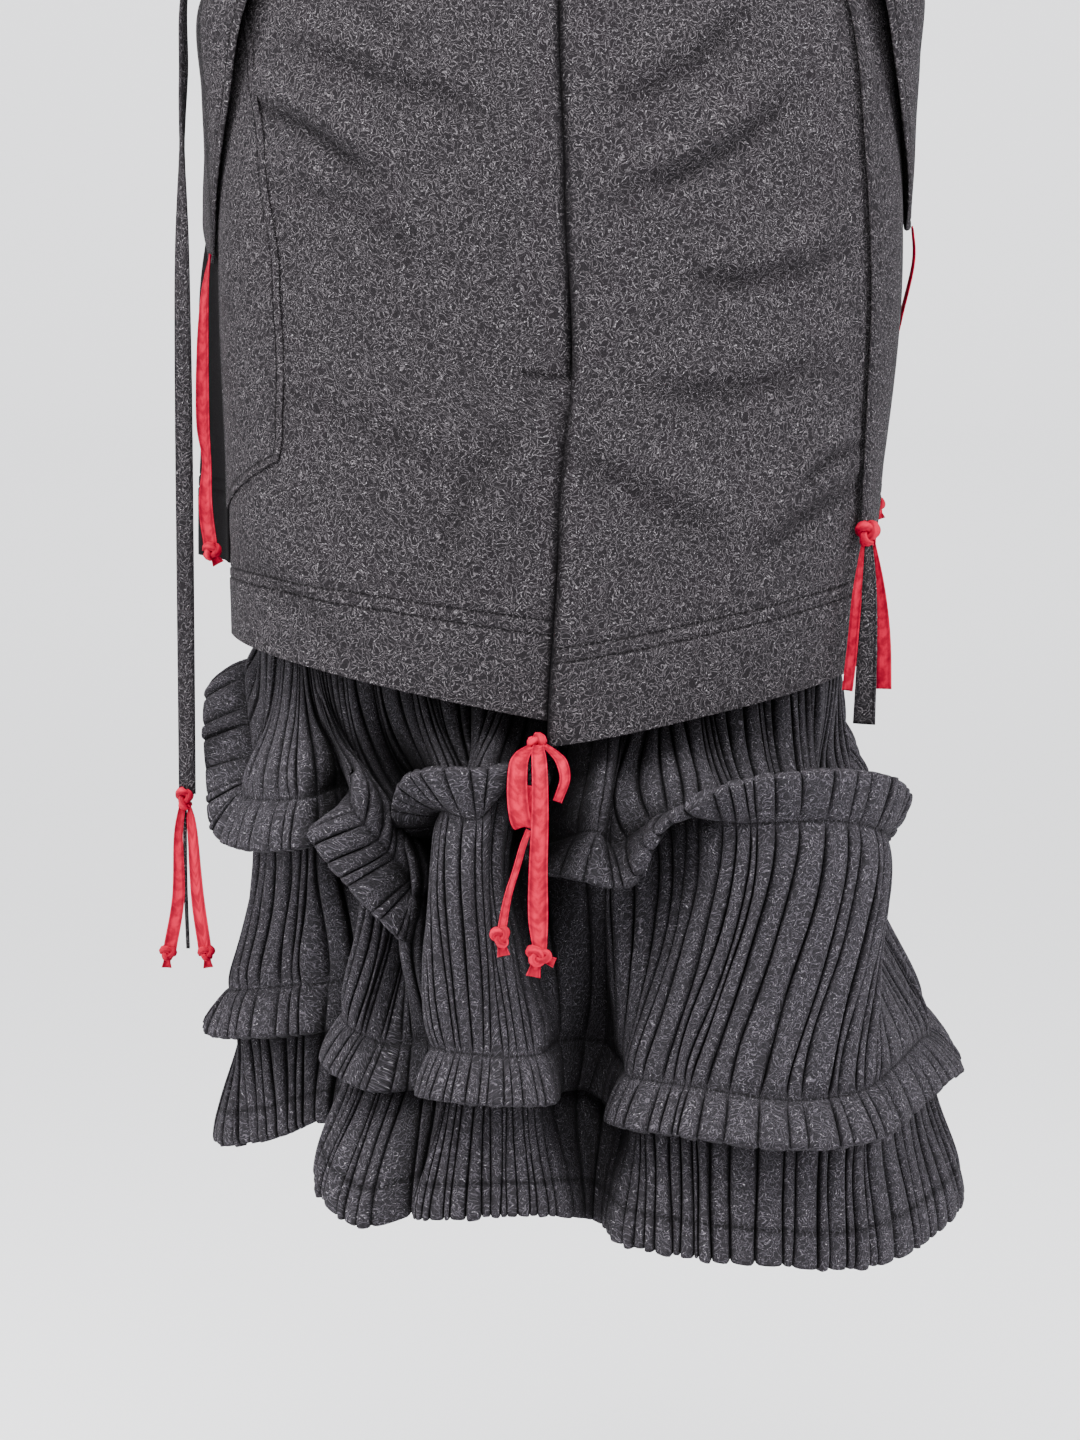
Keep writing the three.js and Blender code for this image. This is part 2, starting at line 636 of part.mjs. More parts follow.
const stripColumns = ['x', 'y', 'z', 'width', 'faces'];
const strips = [
  {
    name: 'strap_left', cloth: charcoal, thickness: 3,
    rows: table(stripColumns, [
      [-141.8, -12, -22, 10, 270], [-146, -12, -38, 10, 270], [-178, -14, -60, 10, 270], [-204, -16, -92, 10, 262],
      [-208, -18, -150, 10, 250], [-209.5, -18, -240, 10, 300], [-209.5, -17, -330, 10, 305],
      [-209.5, -15, -420, 10, 330], [-209.5, -14, -540.2, 10, 345],
    ]),
  },
  {
    name: 'strap_left_cord', cloth: charcoal, thickness: 1.4,
    rows: table(stripColumns, [
      [-211, -12, -553.7, 2.4, 0], [-211, -12, -594, 2.4, 0], [-210, -11, -633, 2.4, 0],
    ]),
  },
  {
    name: 'strap_left_ribbon_outer', cloth: coral, thickness: ribbonCloth,
    rows: table(stripColumns, [
      [-213, -15, -553.8, 4, 0], [-215, -16, -570, 5, 10], [-215, -16, -604, 7, 10], [-219, -16, -630.3, 8, 5],
    ]),
  },
  {
    name: 'strap_left_ribbon_inner', cloth: coral, thickness: ribbonCloth,
    rows: table(stripColumns, [
      [-208.5, -15, -553.8, 4, 0], [-206, -16, -572, 6, 350], [-204, -16, -604, 7.5, 345],
      [-201, -16, -630.2, 8, 350],
    ]),
  },
  {
    name: 'strap_right', cloth: charcoal, thickness: 3,
    rows: layOn(table(['angle', 'z', 'off', 'width'], [
      [326, -24, 2.6, 12], [326, -42, 3, 12], [326, -80, 3, 12], [328, -120, 3, 12], [330, -180, 3, 12],
      [332, -260, 3, 12], [334, -330, 3, 12], [336, -384.8, 4, 11],
    ])),
  },
  {
    name: 'strap_right_tail', cloth: charcoal, thickness: 2,
    rows: table(stripColumns, [
      [164.5, -65, -401.3, 3.6, 340], [165, -71, -425, 5.5, 340], [164, -73, -460, 9, 340], [162, -75, -500, 11, 340],
    ]),
  },
  {
    name: 'strap_right_ribbon_front', cloth: coral, thickness: ribbonCloth,
    rows: table(stripColumns, [
      [160.9, -65.3, -400.4, 2.8, 335], [156, -75, -430, 5, 330], [154, -77, -460, 5, 330], [151, -78, -482, 5, 330],
    ]),
  },
  {
    name: 'strap_right_ribbon_side', cloth: coral, thickness: ribbonCloth,
    rows: table(stripColumns, [
      [168, -64.5, -401, 4, 345], [173, -66, -422, 6, 345], [176, -67, -450, 7, 345], [176, -68, -482, 8.5, 345],
    ]),
  },
  {
    name: 'flap_ribbon_left', cloth: coral, thickness: ribbonCloth,
    rows: table(stripColumns, [
      [-195.1, -0.6, -247.4, 5, 270], [-197.5, -8, -268, 6, 300], [-199, -12, -300, 7, 330], [-199, -13, -340, 8, 340],
      [-197, -13, -360, 7, 330], [-198, -13, -385, 8, 350], [-196, -13, -403.5, 8, 340],
    ]),
  },
  {
    name: 'flap_ribbon_right', cloth: coral, thickness: ribbonCloth,
    rows: table(stripColumns, [
      [190.9, 10, -233, 5, 90], [192, 14, -250, 6, 85], [186, 32, -285, 7, 100], [178, 45, -330, 8, 105],
      [174, 50, -386.2, 8, 105],
    ]),
  },
  {
    name: 'front_ribbon_loop', cloth: coral, thickness: ribbonCloth,
    rows: table(stripColumns, [
      [-19.4, -142.5, -499, 4, 20], [-24, -156, -499.8, 6, 12], [-27, -166, -504.4, 8, 10], [-27, -172, -520, 9, 5],
      [-24, -173, -533, 9, 0], [-21, -171, -536, 9, 0], [-19, -167.5, -530, 9, 0], [-18, -166.5, -515, 8, 0],
    ]),
  },
  {
    name: 'front_ribbon_bow', cloth: coral, thickness: ribbonCloth,
    rows: table(stripColumns, [
      [-10, -141.8, -498.1, 3.5, 20], [-6.5, -152, -500, 6, 25], [-3, -159, -503, 7, 30], [-1, -161, -512, 7, 40],
      [-4, -163, -520, 5, 30],
    ]),
  },
  {
    name: 'front_ribbon_tail', cloth: coral, thickness: ribbonCloth,
    rows: table(stripColumns, [
      [-14.4, -144.1, -497, 5.5, 0], [-15, -157, -498, 7, 0], [-14.5, -168, -501, 8, 0], [-14, -174, -512, 8.5, 0],
      [-14, -175, -530, 9, 0], [-15, -174, -560, 10, 5], [-15, -171, -586, 10.5, 5], [-13, -170, -599, 7, 5],
    ]),
  },
  {
    name: 'front_ribbon_thin_tail', cloth: coral, thickness: ribbonCloth,
    rows: table(stripColumns, [
      [-20, -172.4, -537.8, 3, 20], [-23, -177, -545, 3.5, 20], [-26.5, -178, -557, 4, 30],
      [-31, -177, -572, 4.5, 30], [-34, -176, -587.2, 5, 20],
    ]),
  },
];
const knotSides = 10;
const knots = table(['name', 'x', 'y', 'z', 'wide', 'deep', 'high', 'tilt'], [
  ['strap_left_knot', -211, -14, -547, 10, 9, 14, 0],
  ['strap_left_ribbon_outer_end', -221, -16, -634.5, 10, 5, 9, 10],
  ['strap_left_ribbon_inner_end', -199.5, -16, -634.5, 10, 5, 9, -10],
  ['strap_right_knot', 164, -63, -393, 15, 10, 17, 0],
  ['flap_ribbon_left_knot', -195, -13, -409.5, 12, 9, 12, 20],
  ['flap_ribbon_right_knot', 174.5, 50, -392, 11, 9, 12, 0],
  ['front_knot', -15.4, -138.2, -496.5, 12, 11, 12, -30],
  ['front_ribbon_tail_end', -15, -170, -606, 16, 6, 13, 20],
  ['front_ribbon_thin_tail_end', -35, -176, -594, 12, 6, 14, -15],
]);

function knotGeometry({ wide, deep, high }) {
  return new THREE.SphereGeometry(0.5, knotSides, knotSides / 2).scale(wide, deep, high);
}

// ---- The skirt ---------------------------------------------------------------------------

const skirt = new THREE.Group();

function add(name, geometry, cloth) {
  const mesh = new THREE.Mesh(geometry, new THREE.MeshStandardMaterial(cloth));
  mesh.name = name;
  skirt.add(mesh);
  return mesh;
}

function waistbandGeometry() {
  const rows = [0, -bandHeight].map((z) => Array.from({ length: roundSteps }, (_, i) => (
    ringPoint({
      halfWidth: waist.halfWidth - 2, front: waist.front - 2, back: waist.back - 2,
    }, i * 360 / roundSteps, z))));
  return wallGeometry(rows, bandThickness, { closed: true });
}

add('waistband', waistbandGeometry(), charcoal);
add('yoke_front', yokeGeometry(180, 360), pleatCharcoal);
add('yoke_back', yokeGeometry(0, 180), pleatCharcoal);
add('over_front_left', wallGeometry(leftFrontRows(), plainCloth), charcoal);
add('over_front_right', wallGeometry(rightFrontRows(), plainCloth), charcoal);
add('over_back', wallGeometry(backRows(), plainCloth), charcoal);
add('pocket_left', wallGeometry(pocketRows(), overlayCloth), charcoal);
for (const flap of flaps) add(flap.name, wallGeometry(flapRows(flap), plainCloth, { flip: flap.turn > 0 }), charcoal);
for (const tier of tiers) {
  add(`${tier.name}_front`, tierGeometry(tier, leftSeamAt, rightSeamAt), pleatCharcoal);
  add(`${tier.name}_back`, tierGeometry(tier, rightSeamAt, leftSeamAt + pleatCount), pleatCharcoal);
}
for (const { name, rows, thickness, cloth } of strips) add(name, stripGeometry(rows, thickness), cloth);
for (const knot of knots) {
  const mesh = add(knot.name, knotGeometry(knot), coral);
  mesh.position.set(knot.x, knot.y, knot.z);
  mesh.rotation.set(0, radians(knot.tilt), 0);
}

export default skirt;
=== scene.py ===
import math

import bmesh
import bpy
import numpy as np
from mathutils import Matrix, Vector


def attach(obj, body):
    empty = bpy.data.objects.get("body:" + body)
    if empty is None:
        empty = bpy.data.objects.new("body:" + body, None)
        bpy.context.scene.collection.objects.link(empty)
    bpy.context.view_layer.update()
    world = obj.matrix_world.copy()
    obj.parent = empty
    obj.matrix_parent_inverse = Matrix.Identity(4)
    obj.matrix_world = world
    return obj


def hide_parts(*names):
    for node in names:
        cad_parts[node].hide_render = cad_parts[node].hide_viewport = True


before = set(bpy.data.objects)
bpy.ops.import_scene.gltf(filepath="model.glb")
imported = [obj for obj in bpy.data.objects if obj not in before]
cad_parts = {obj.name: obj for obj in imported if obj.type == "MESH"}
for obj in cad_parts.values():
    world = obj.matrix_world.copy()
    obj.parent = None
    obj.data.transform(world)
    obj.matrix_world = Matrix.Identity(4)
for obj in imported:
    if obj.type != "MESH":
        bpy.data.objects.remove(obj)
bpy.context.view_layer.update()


# all shapes are worked out in mm, and become metres where their mesh is made
def table(names, rows):
    return [dict(zip(names, row)) for row in rows]


def mix(a, b, t):
    return a + (b - a) * t


def smooth(low, high, value):
    t = np.clip((np.asarray(value, float) - low) / (high - low), 0, 1)
    return t * t * (3 - 2 * t)


def unit(v):
    return v / np.maximum(np.linalg.norm(v, axis=-1, keepdims=True), 1e-9)


def direction(angle, lean):
    a, b = np.radians(angle), np.radians(lean)
    return np.stack([np.cos(b) * np.cos(a), np.cos(b) * np.sin(a), np.sin(b) + 0 * a], -1)


# a smooth centripetal curve; at counts the points
def curveThrough(points, at, closed=False):
    points = np.asarray(points, float)
    n = len(points)
    at = np.asarray(at, float)
    if not closed:
        points = np.vstack([2 * points[0] - points[1], points, 2 * points[-1] - points[-2]])
        at = np.clip(at, 0, n - 1 - 1e-9) + 1
        n += 2
    k = np.floor(at).astype(int)
    t = (at - k)[:, None]
    p = [points[(k + i) % n] for i in (-1, 0, 1, 2)]
    steps = [np.linalg.norm(p[i + 1] - p[i], axis=1) for i in range(3)]
    g0, g1, g2 = [np.maximum(step ** 0.5, 1e-3)[:, None] for step in steps]
    t1 = ((p[1] - p[0]) / g0 - (p[2] - p[0]) / (g0 + g1) + (p[2] - p[1]) / g1) * g1
    t2 = ((p[2] - p[1]) / g1 - (p[3] - p[1]) / (g1 + g2) + (p[3] - p[2]) / g2) * g1
    return (p[1] + t1 * t + (-3 * p[1] + 3 * p[2] - 2 * t1 - t2) * t ** 2
            + (2 * p[1] - 2 * p[2] + t1 + t2) * t ** 3)


# from a, which it leaves along leave, to b, which it meets along reach
def drape(a, leave, b, reach, t):
    t2, t3 = t * t, t * t * t
    return a * (2 * t3 - 3 * t2 + 1) + leave * (t3 - 2 * t2 + t) + b * (3 * t2 - 2 * t3) + reach * (t3 - t2)


def gridNormals(p, closed):
    along = (np.roll(p, -1, 1) - np.roll(p, 1, 1)) if closed else np.gradient(p, axis=1)
    down = unit(np.gradient(p, axis=0))
    return unit(np.cross(down, unit(along)))


def runLengths(p, axis):
    step = np.linalg.norm(np.diff(p, axis=axis), axis=-1)
    pad = np.zeros_like(np.take(step, [0], axis=axis))
    return np.cumsum(np.concatenate([pad, step], axis=axis), axis=axis)


# rows down, columns along; the UV map is in mm, so that weaves keep their real size
def gridMesh(name, p, closed=False, material=None, masks=None, flip=False):
    rows, columns = p.shape[:2]
    along = runLengths(np.concatenate([p, p[:, :1]], 1) if closed else p, 1)
    down = runLengths(p, 0)
    if closed:
        down = np.concatenate([down, down[:, :1]], 1)
    uv = np.stack([np.broadcast_to(along[rows // 2], down.shape), down], -1)
    across = columns if closed else columns - 1
    j, i = np.meshgrid(np.arange(rows - 1), np.arange(across), indexing="ij")
    after = (i + 1) % columns
    here, below = j * columns, (j + 1) * columns
    quads = np.stack([here + i, below + i, below + after, here + after], -1)
    uvs = np.stack([uv[j, i], uv[j + 1, i], uv[j + 1, i + 1], uv[j, i + 1]], -2)
    if flip:
        quads, uvs = quads[..., ::-1], uvs[..., ::-1, :]
    quads, uvs = quads.reshape(-1, 4), uvs.reshape(-1, 2)
    mesh = bpy.data.meshes.new(name)
    mesh.vertices.add(rows * columns)
    mesh.vertices.foreach_set("co", (p.reshape(-1) / 1000).astype(np.float32))
    mesh.loops.add(len(quads) * 4)
    mesh.loops.foreach_set("vertex_index", quads.reshape(-1).astype(np.int32))
    mesh.polygons.add(len(quads))
    mesh.polygons.foreach_set("loop_start", (np.arange(len(quads)) * 4).astype(np.int32))
    mesh.update(calc_edges=True)
    layer = mesh.uv_layers.new(name="clothMm")
    layer.data.foreach_set("uv", uvs.reshape(-1).astype(np.float32))
    for key, values in (masks or {}).items():
        data = mesh.attributes.new(key, "FLOAT", "POINT")
        data.data.foreach_set("value", np.ascontiguousarray(values, np.float32).reshape(-1))
    mesh.polygons.foreach_set("use_smooth", [True] * len(quads))
    mesh.update()
    piece = bpy.data.objects.new(name, mesh)
    bpy.context.scene.collection.objects.link(piece)
    if material:
        mesh.materials.append(material)
    return piece


# gives a sheet its thickness, half to each side
def thicken(piece, thickness):
    shell = piece.modifiers.new("clothThickness", "SOLIDIFY")
    shell.thickness = thickness / 1000
    shell.offset = 0
    shell.use_even_offset = False
    shell.use_rim = True
    return piece


def joinMeshes(name, pieces):
    whole = bmesh.new()
    for piece in pieces:
        whole.from_mesh(piece.data)
    whole.to_mesh(pieces[0].data)
    whole.free()
    for piece in pieces[1:]:
        bpy.data.objects.remove(piece)
    pieces[0].name = pieces[0].data.name = name
    return pieces[0]


def place(piece, nodes):
    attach(piece, "root")
    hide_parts(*nodes)


def colourOf(code):
    parts = [int(code[k:k + 2], 16) / 255 for k in (1, 3, 5)]
    return tuple(c / 12.92 if c <= 0.04045 else ((c + 0.055) / 1.055) ** 2.4 for c in parts) + (1,)


# adds one node; an input is a value or a socket to link, and out names the output that is handed back
def addNode(tree, kind, inputs=None, out=0, **settings):
    node = tree.nodes.new("ShaderNode" + kind)
    for key, value in settings.items():
        setattr(node, key, value)
    for key, value in (inputs or {}).items():
        socket = node.inputs[key]
        if isinstance(value, bpy.types.NodeSocket):
            tree.links.new(value, socket)
        else:
            socket.default_value = value
    return node.outputs[out] if node.outputs else None


flat = {"noise_dimensions": "2D"}                # settings that many nodes share
soft = {"interpolation_type": "SMOOTHSTEP"}
colours = {"data_type": "RGBA"}


def newMaterial(name, roughness, specular):
    material = bpy.data.materials.new(name)
    material.use_nodes = True
    tree = material.node_tree
    tree.nodes.clear()
    surface = addNode(tree, "BsdfPrincipled", {"Roughness": roughness, "Specular IOR Level": specular})
    addNode(tree, "OutputMaterial", {0: surface})
    return material, tree, surface.node.inputs


# how every printed stroke is drawn; all but the angles are in shares of the cell
stroke = {"flowScale": 0.22, "flowTurn": 22.0, "ownTurn": 1.3, "waves": 5.4, "inner": 0.35, "outer": 0.65,
          "endIn": 0.05, "endOut": 0.03, "palest": 0.3, "fadeTo": 0.9, "sideShift": 0.37}


# one short curved stroke in each cell; neighbours lie nearly parallel, as printed marks flow with the cloth
def squiggles(tree, coords, cell, shift, bend, half, width):
    shift = (shift, shift * stroke["sideShift"], 0)
    moved = addNode(tree, "VectorMath", {0: coords, 1: shift}, operation="ADD")
    scaled = addNode(tree, "VectorMath", {0: moved, "Scale": 1 / cell}, operation="SCALE")
    colour = addNode(tree, "TexVoronoi", {"Vector": scaled, "Scale": 1.0}, "Color", voronoi_dimensions="2D")
    centre = colour.node.outputs["Position"]
    local = addNode(tree, "VectorMath", {0: scaled, 1: centre}, operation="SUBTRACT")
    picks = addNode(tree, "SeparateColor", {0: colour}).node.outputs
    flow = addNode(tree, "TexNoise", {"Vector": centre, "Scale": stroke["flowScale"]}, **flat)
    flow = addNode(tree, "Math", {0: flow, 1: stroke["flowTurn"]}, operation="MULTIPLY")
    own = addNode(tree, "Math", {0: picks[0], 1: stroke["ownTurn"]}, operation="MULTIPLY")
    turn = addNode(tree, "Math", {0: flow, 1: own}, operation="ADD")
    turned = addNode(tree, "VectorRotate", {"Vector": local, "Angle": turn}, rotation_type="Z_AXIS")
    along, across = addNode(tree, "SeparateXYZ", {0: turned}).node.outputs[:2]
    wave = addNode(tree, "Math", {0: along, 1: stroke["waves"]}, operation="MULTIPLY")
    wave = addNode(tree, "Math", {0: wave}, operation="SINE")
    bendBy = addNode(tree, "Math", {0: picks[1], 1: bend}, operation="MULTIPLY")
    bendBy = addNode(tree, "Math", {0: wave, 1: bendBy}, operation="MULTIPLY")
    off = addNode(tree, "Math", {0: across, 1: bendBy}, operation="SUBTRACT")
    off = addNode(tree, "Math", {0: off}, operation="ABSOLUTE")
    inner, outer = width * stroke["inner"] / cell, width * stroke["outer"] / cell
    line = addNode(tree, "MapRange", {0: off, 1: inner, 2: outer, 3: 1.0, 4: 0.0}, **soft)
    far = addNode(tree, "Math", {0: along}, operation="ABSOLUTE")
    inner, outer = half / cell - stroke["endIn"], half / cell + stroke["endOut"]
    ends = addNode(tree, "MapRange", {0: far, 1: inner, 2: outer, 3: 1.0, 4: 0.0}, **soft)
    fade = {0: picks[2], 1: 0.0, 2: stroke["fadeTo"], 3: stroke["palest"], 4: 1.0}
    fade = addNode(tree, "MapRange", fade, **soft)
    mark = addNode(tree, "Math", {0: line, 1: ends}, operation="MULTIPLY")
    return addNode(tree, "Math", {0: mark, 1: fade}, operation="MULTIPLY")


# Plain cotton with a small pale print. Scales are per mm of cloth. The real threads lie about 0.3 mm
# apart, too fine to show, so the weave is drawn in grains of 0.4 by 0.9 mm.
def patternedCotton(name, look):
    material, tree, surface = newMaterial(name, 0.93, 0.05)
    coords = addNode(tree, "UVMap", uv_map="clothMm")
    bent = addNode(tree, "TexNoise", {"Vector": coords, "Scale": 0.16, "Detail": 1.0}, "Color", **flat)
    sway = addNode(tree, "VectorMath", {0: bent, 1: (0.5, 0.5, 0.5)}, operation="SUBTRACT")
    sway = addNode(tree, "VectorMath", {0: sway, "Scale": 6.0}, operation="SCALE")
    swayed = addNode(tree, "VectorMath", {0: coords, 1: sway}, operation="ADD")     # strokes crowd a little
    first = squiggles(tree, swayed, look["cell"], 0, 0.32, look["half"], look["width"])
    second = squiggles(tree, swayed, look["cell"] * 0.87, 41.3, 0.36, look["half"] * 0.85, look["width"])
    strokes = addNode(tree, "Math", {0: first, 1: second}, operation="MAXIMUM")
    patchy = addNode(tree, "TexNoise", {"Vector": coords, "Scale": 0.05, "Detail": 1.0}, **flat)
    patchy = addNode(tree, "MapRange", {0: patchy, 1: 0.3, 2: 0.65, 3: 0.85, 4: 1.0}, **soft)
    strokes = addNode(tree, "Math", {0: strokes, 1: patchy}, operation="MULTIPLY")
    slubs = addNode(tree, "TexNoise", {"Vector": coords, "Scale": 1.1, "Detail": 1.0}, **flat)
    slubs = addNode(tree, "MapRange", {0: slubs, 1: 0.66, 2: 0.76, 3: 0.0, 4: 1.0}, **soft)
    slubs = addNode(tree, "Math", {0: slubs, 1: strokes}, operation="MULTIPLY")      # pale slubs
    fuzz = addNode(tree, "TexNoise", {"Vector": coords, "Scale": 1.5, "Detail": 2.0}, **flat)
    weave = addNode(tree, "VectorMath", {0: coords, 1: (2.6, 1.1, 1.0)}, operation="MULTIPLY")
    weave = addNode(tree, "TexNoise", {"Vector": weave, "Scale": 1.0, "Detail": 2.0}, **flat)
    seam = addNode(tree, "Attribute", out="Fac", attribute_name="seam")
    dashes = addNode(tree, "SeparateXYZ", {0: coords})
    dashes = addNode(tree, "Math", {0: dashes, 1: 6.283 / look["stitch"]}, operation="MULTIPLY")
    dashes = addNode(tree, "Math", {0: dashes}, operation="SINE")
    dashes = addNode(tree, "MapRange", {0: dashes, 1: -0.9, 2: -0.3, 3: 0.5, 4: 1.0}, **soft)
    thread = addNode(tree, "Math", {0: seam, 1: dashes}, operation="MULTIPLY")
    # painted shade: a per-vertex mask over pleat grooves, seam edges, drag-fold valleys, the vent's edge
    # and the back's left side, mixed towards near black
    groove = addNode(tree, "Attribute", out="Fac", attribute_name="groove")
    share = addNode(tree, "MapRange", {0: fuzz, 1: 0.3, 2: 0.7, 3: 0.0, 4: 1.0}, **soft)
    layers = [(strokes, look["show"], "stroke"), (slubs, 0.9, "speck"), (thread, 0.85, "groove"),
              (groove, look["deep"], "groove")]
    dark, base = colourOf(look["dark"]), colourOf(look["base"])
    ground = addNode(tree, "Mix", {0: share, 6: dark, 7: base}, 2, **colours)
    for mask, strength, colour in layers:
        share = addNode(tree, "Math", {0: mask, 1: strength}, operation="MULTIPLY")
        ground = addNode(tree, "Mix", {0: share, 6: ground, 7: colourOf(look[colour])}, 2, **colours)
    if "shade" in look:                                             # painted shade from ambient occlusion, deep in the folds
        paintedFoldShade = addNode(tree, "AmbientOcclusion", {"Distance": 0.08}, "AO", samples=4)
        paintedFoldShade = addNode(tree, "MapRange", {0: paintedFoldShade, 1: 0.3, 2: 1.0, 3: look["shade"], 4: 0.0}, **soft)
        ground = addNode(tree, "Mix", {0: paintedFoldShade, 6: ground, 7: colourOf(look["groove"])}, 2, **colours)
    height = addNode(tree, "Math", {0: weave, 1: 0.5}, operation="MULTIPLY")
    for mask, strength in ((fuzz, 0.7), (strokes, 0.5)):
        raised = addNode(tree, "Math", {0: mask, 1: strength}, operation="MULTIPLY")
        height = addNode(tree, "Math", {0: height, 1: raised}, operation="ADD")
    bump = addNode(tree, "Bump", {"Height": height, "Strength": look["bump"], "Distance": 0.0004})
    tree.links.new(ground, surface["Base Color"])
    tree.links.new(bump, surface["Normal"])
    return material


# Woven cotton tape with stitched edges. Its ribs lie about 0.25 mm apart, and are drawn twice as coarse
# so that they show.
def cottonTape(name, look):
    material, tree, surface = newMaterial(name, 0.75, 0.08)
    coords = addNode(tree, "UVMap", uv_map="clothMm")
    weave = {"Vector": coords, "Scale": 0.9, "Distortion": 1.5}
    weave = addNode(tree, "TexWave", weave, bands_direction="DIAGONAL")
    fuzz = addNode(tree, "TexNoise", {"Vector": coords, "Scale": 0.22, "Detail": 4.0}, **flat)
    edge = addNode(tree, "Attribute", out="Fac", attribute_name="seam")
    share = addNode(tree, "MapRange", {0: fuzz, 1: 0.3, 2: 0.7, 3: 0.0, 4: 1.0}, **soft)
    dark, base = colourOf(look["dark"]), colourOf(look["base"])
    ground = addNode(tree, "Mix", {0: share, 6: dark, 7: base}, 2, **colours)
    share = addNode(tree, "Math", {0: edge, 1: 0.65}, operation="MULTIPLY")
    ground = addNode(tree, "Mix", {0: share, 6: ground, 7: colourOf(look["edge"])}, 2, **colours)
    height = addNode(tree, "Math", {0: weave, 1: 0.4}, operation="MULTIPLY")
    height = addNode(tree, "Math", {0: height, 1: fuzz}, operation="ADD")
    sunk = addNode(tree, "Math", {0: edge, 1: 1.2}, operation="MULTIPLY")
    height = addNode(tree, "Math", {0: height, 1: sunk}, operation="SUBTRACT")
    bump = addNode(tree, "Bump", {"Height": height, "Strength": 0.35, "Distance": 0.0004})
    tree.links.new(ground, surface["Base Color"])
    tree.links.new(bump, surface["Normal"])
    return material


# matt, with dense tiny strokes a little paler than the ground; its near-black colour serves the stitches
# and painted shade at seam edges, in drag-fold valleys, under the vent's edge and over the back's left side
overCloth = patternedCotton("cottonCharcoalPrinted", {
    "base": "#1e1c1e", "dark": "#151315", "stroke": "#575356", "speck": "#a5a1a5", "groove": "#040304",
    "cell": 2.3, "half": 1.4, "width": 0.36, "stitch": 3.2, "show": 0.78, "bump": 0.45, "deep": 0.97})
# the same cloth on a slightly lighter ground, with painted shade in its pleats' grooves and, from ambient
# occlusion, deep in its folds
pleatCloth = patternedCotton("cottonCharcoalPleated", {
    "base": "#272528", "dark": "#1b1a1c", "stroke": "#57535a", "speck": "#a09ca1", "groove": "#020202",
    "cell": 2.4, "half": 1.45, "width": 0.38, "stitch": 3.2, "show": 0.66, "bump": 0.5, "deep": 0.9,
    "shade": 0.93})
# bright coral red, darker at its stitched edges
tape = cottonTape("cottonTapeCoral", {
    "base": "#b4002f", "dark": "#86001f", "edge": "#44010e"})
print("materials made")

# The underskirt is one pleated cloth with two stitched tucks. Each row of a tuck's table is a place on its
# folded edge: which pleat it is, the angle at which that pleat leaves the yoke, where it lies, which way
# the tuck points there, and how far the cloth below flows out of it.
pleatCount = 66
tuckDepth = 28
bandHeight = 40
squareness = 0.9
yokeFoot = {"z": -440, "left": 166, "right": 150, "front": 102, "back": 108}

tuckColumns = ["fold", "at", "hangs", "x", "y", "z", "aim", "lean", "flow"]
upperTuck = table(tuckColumns, [
    ["back dip", 0, 90, 0, 132, -532, 90, -60, 1],
    ["back left crest", 3.3, 106, -66, 152, -512, 105, -50, 1],
    ["back left dip", 6.3, 123, -122, 120, -540, 128, -62, 1],
    ["left back crest", 9.1, 147, -170, 84, -518, 148, -50, 1],
    ["left lobe", 12, 170, -198, 30, -493, 172, -38, 1],
    ["left lobe foot", 15, 193, -198, -20, -542, 188, -38, 1],
    ["left panel corner", 16.5, 201, -191, -45, -565, 205, -62, 1],
    ["left panel", 19.5, 211, -144, -105, -560, 238, -72, 1],
    ["left panel turn", 20.8, 214, -117, -94, -554, 250, -85, 1],
    ["slant fold tip", 22.5, 216, -138, -125, -549, 206, -46, 0.4],
    ["slant fold", 25.1, 221, -100, -135, -593, 220, -34, 0.2],
    ["slant fold foot", 26.5, 225, -86, -124, -608, 237, -53, 0.1],
    ["inner rise", 28.5, 233, -84, -92, -586, 198, -43, 0.1],
    ["centre lobe side", 30.6, 242, -94, -122, -540, 189, 10, 0.3],
    ["centre lobe corner", 32.3, 246, -84, -148, -512, 228, 58, 1],
    ["centre lobe top", 34, 254, -48, -165, -506, 262, 80, 1],
    ["centre lobe end", 35.8, 262.5, -10, -155, -508, 286, 66, 1],
    ["dip start", 38.5, 271, -22, -135, -560, 264, -14, 0.5],
    ["dip", 40.2, 277, 8, -152, -569, 270, -68, 1],
    ["dip end", 41.4, 282, 33, -155, -571, 272, -58, 1],
    ["right lobe rise", 43.2, 288, 49, -168, -538, 266, 4, 1],
    ["right lobe shoulder", 45.2, 296, 84, -180, -513, 272, 56, 1],
    ["right lobe top", 48.2, 312, 150, -157, -508, 296, 82, 1],
    ["right lobe end", 50.8, 328, 183, -108, -526, 322, 76, 1],
    ["right side", 53, 341, 178, -70, -558, 345, 12, 1],
    ["right back side", 56, 358, 174, 0, -560, 360, -52, 1],
    ["right back crest", 59.5, 380, 152, 64, -520, 385, -50, 1],
    ["right back dip", 63, 408, 90, 112, -545, 414, -60, 1],
])
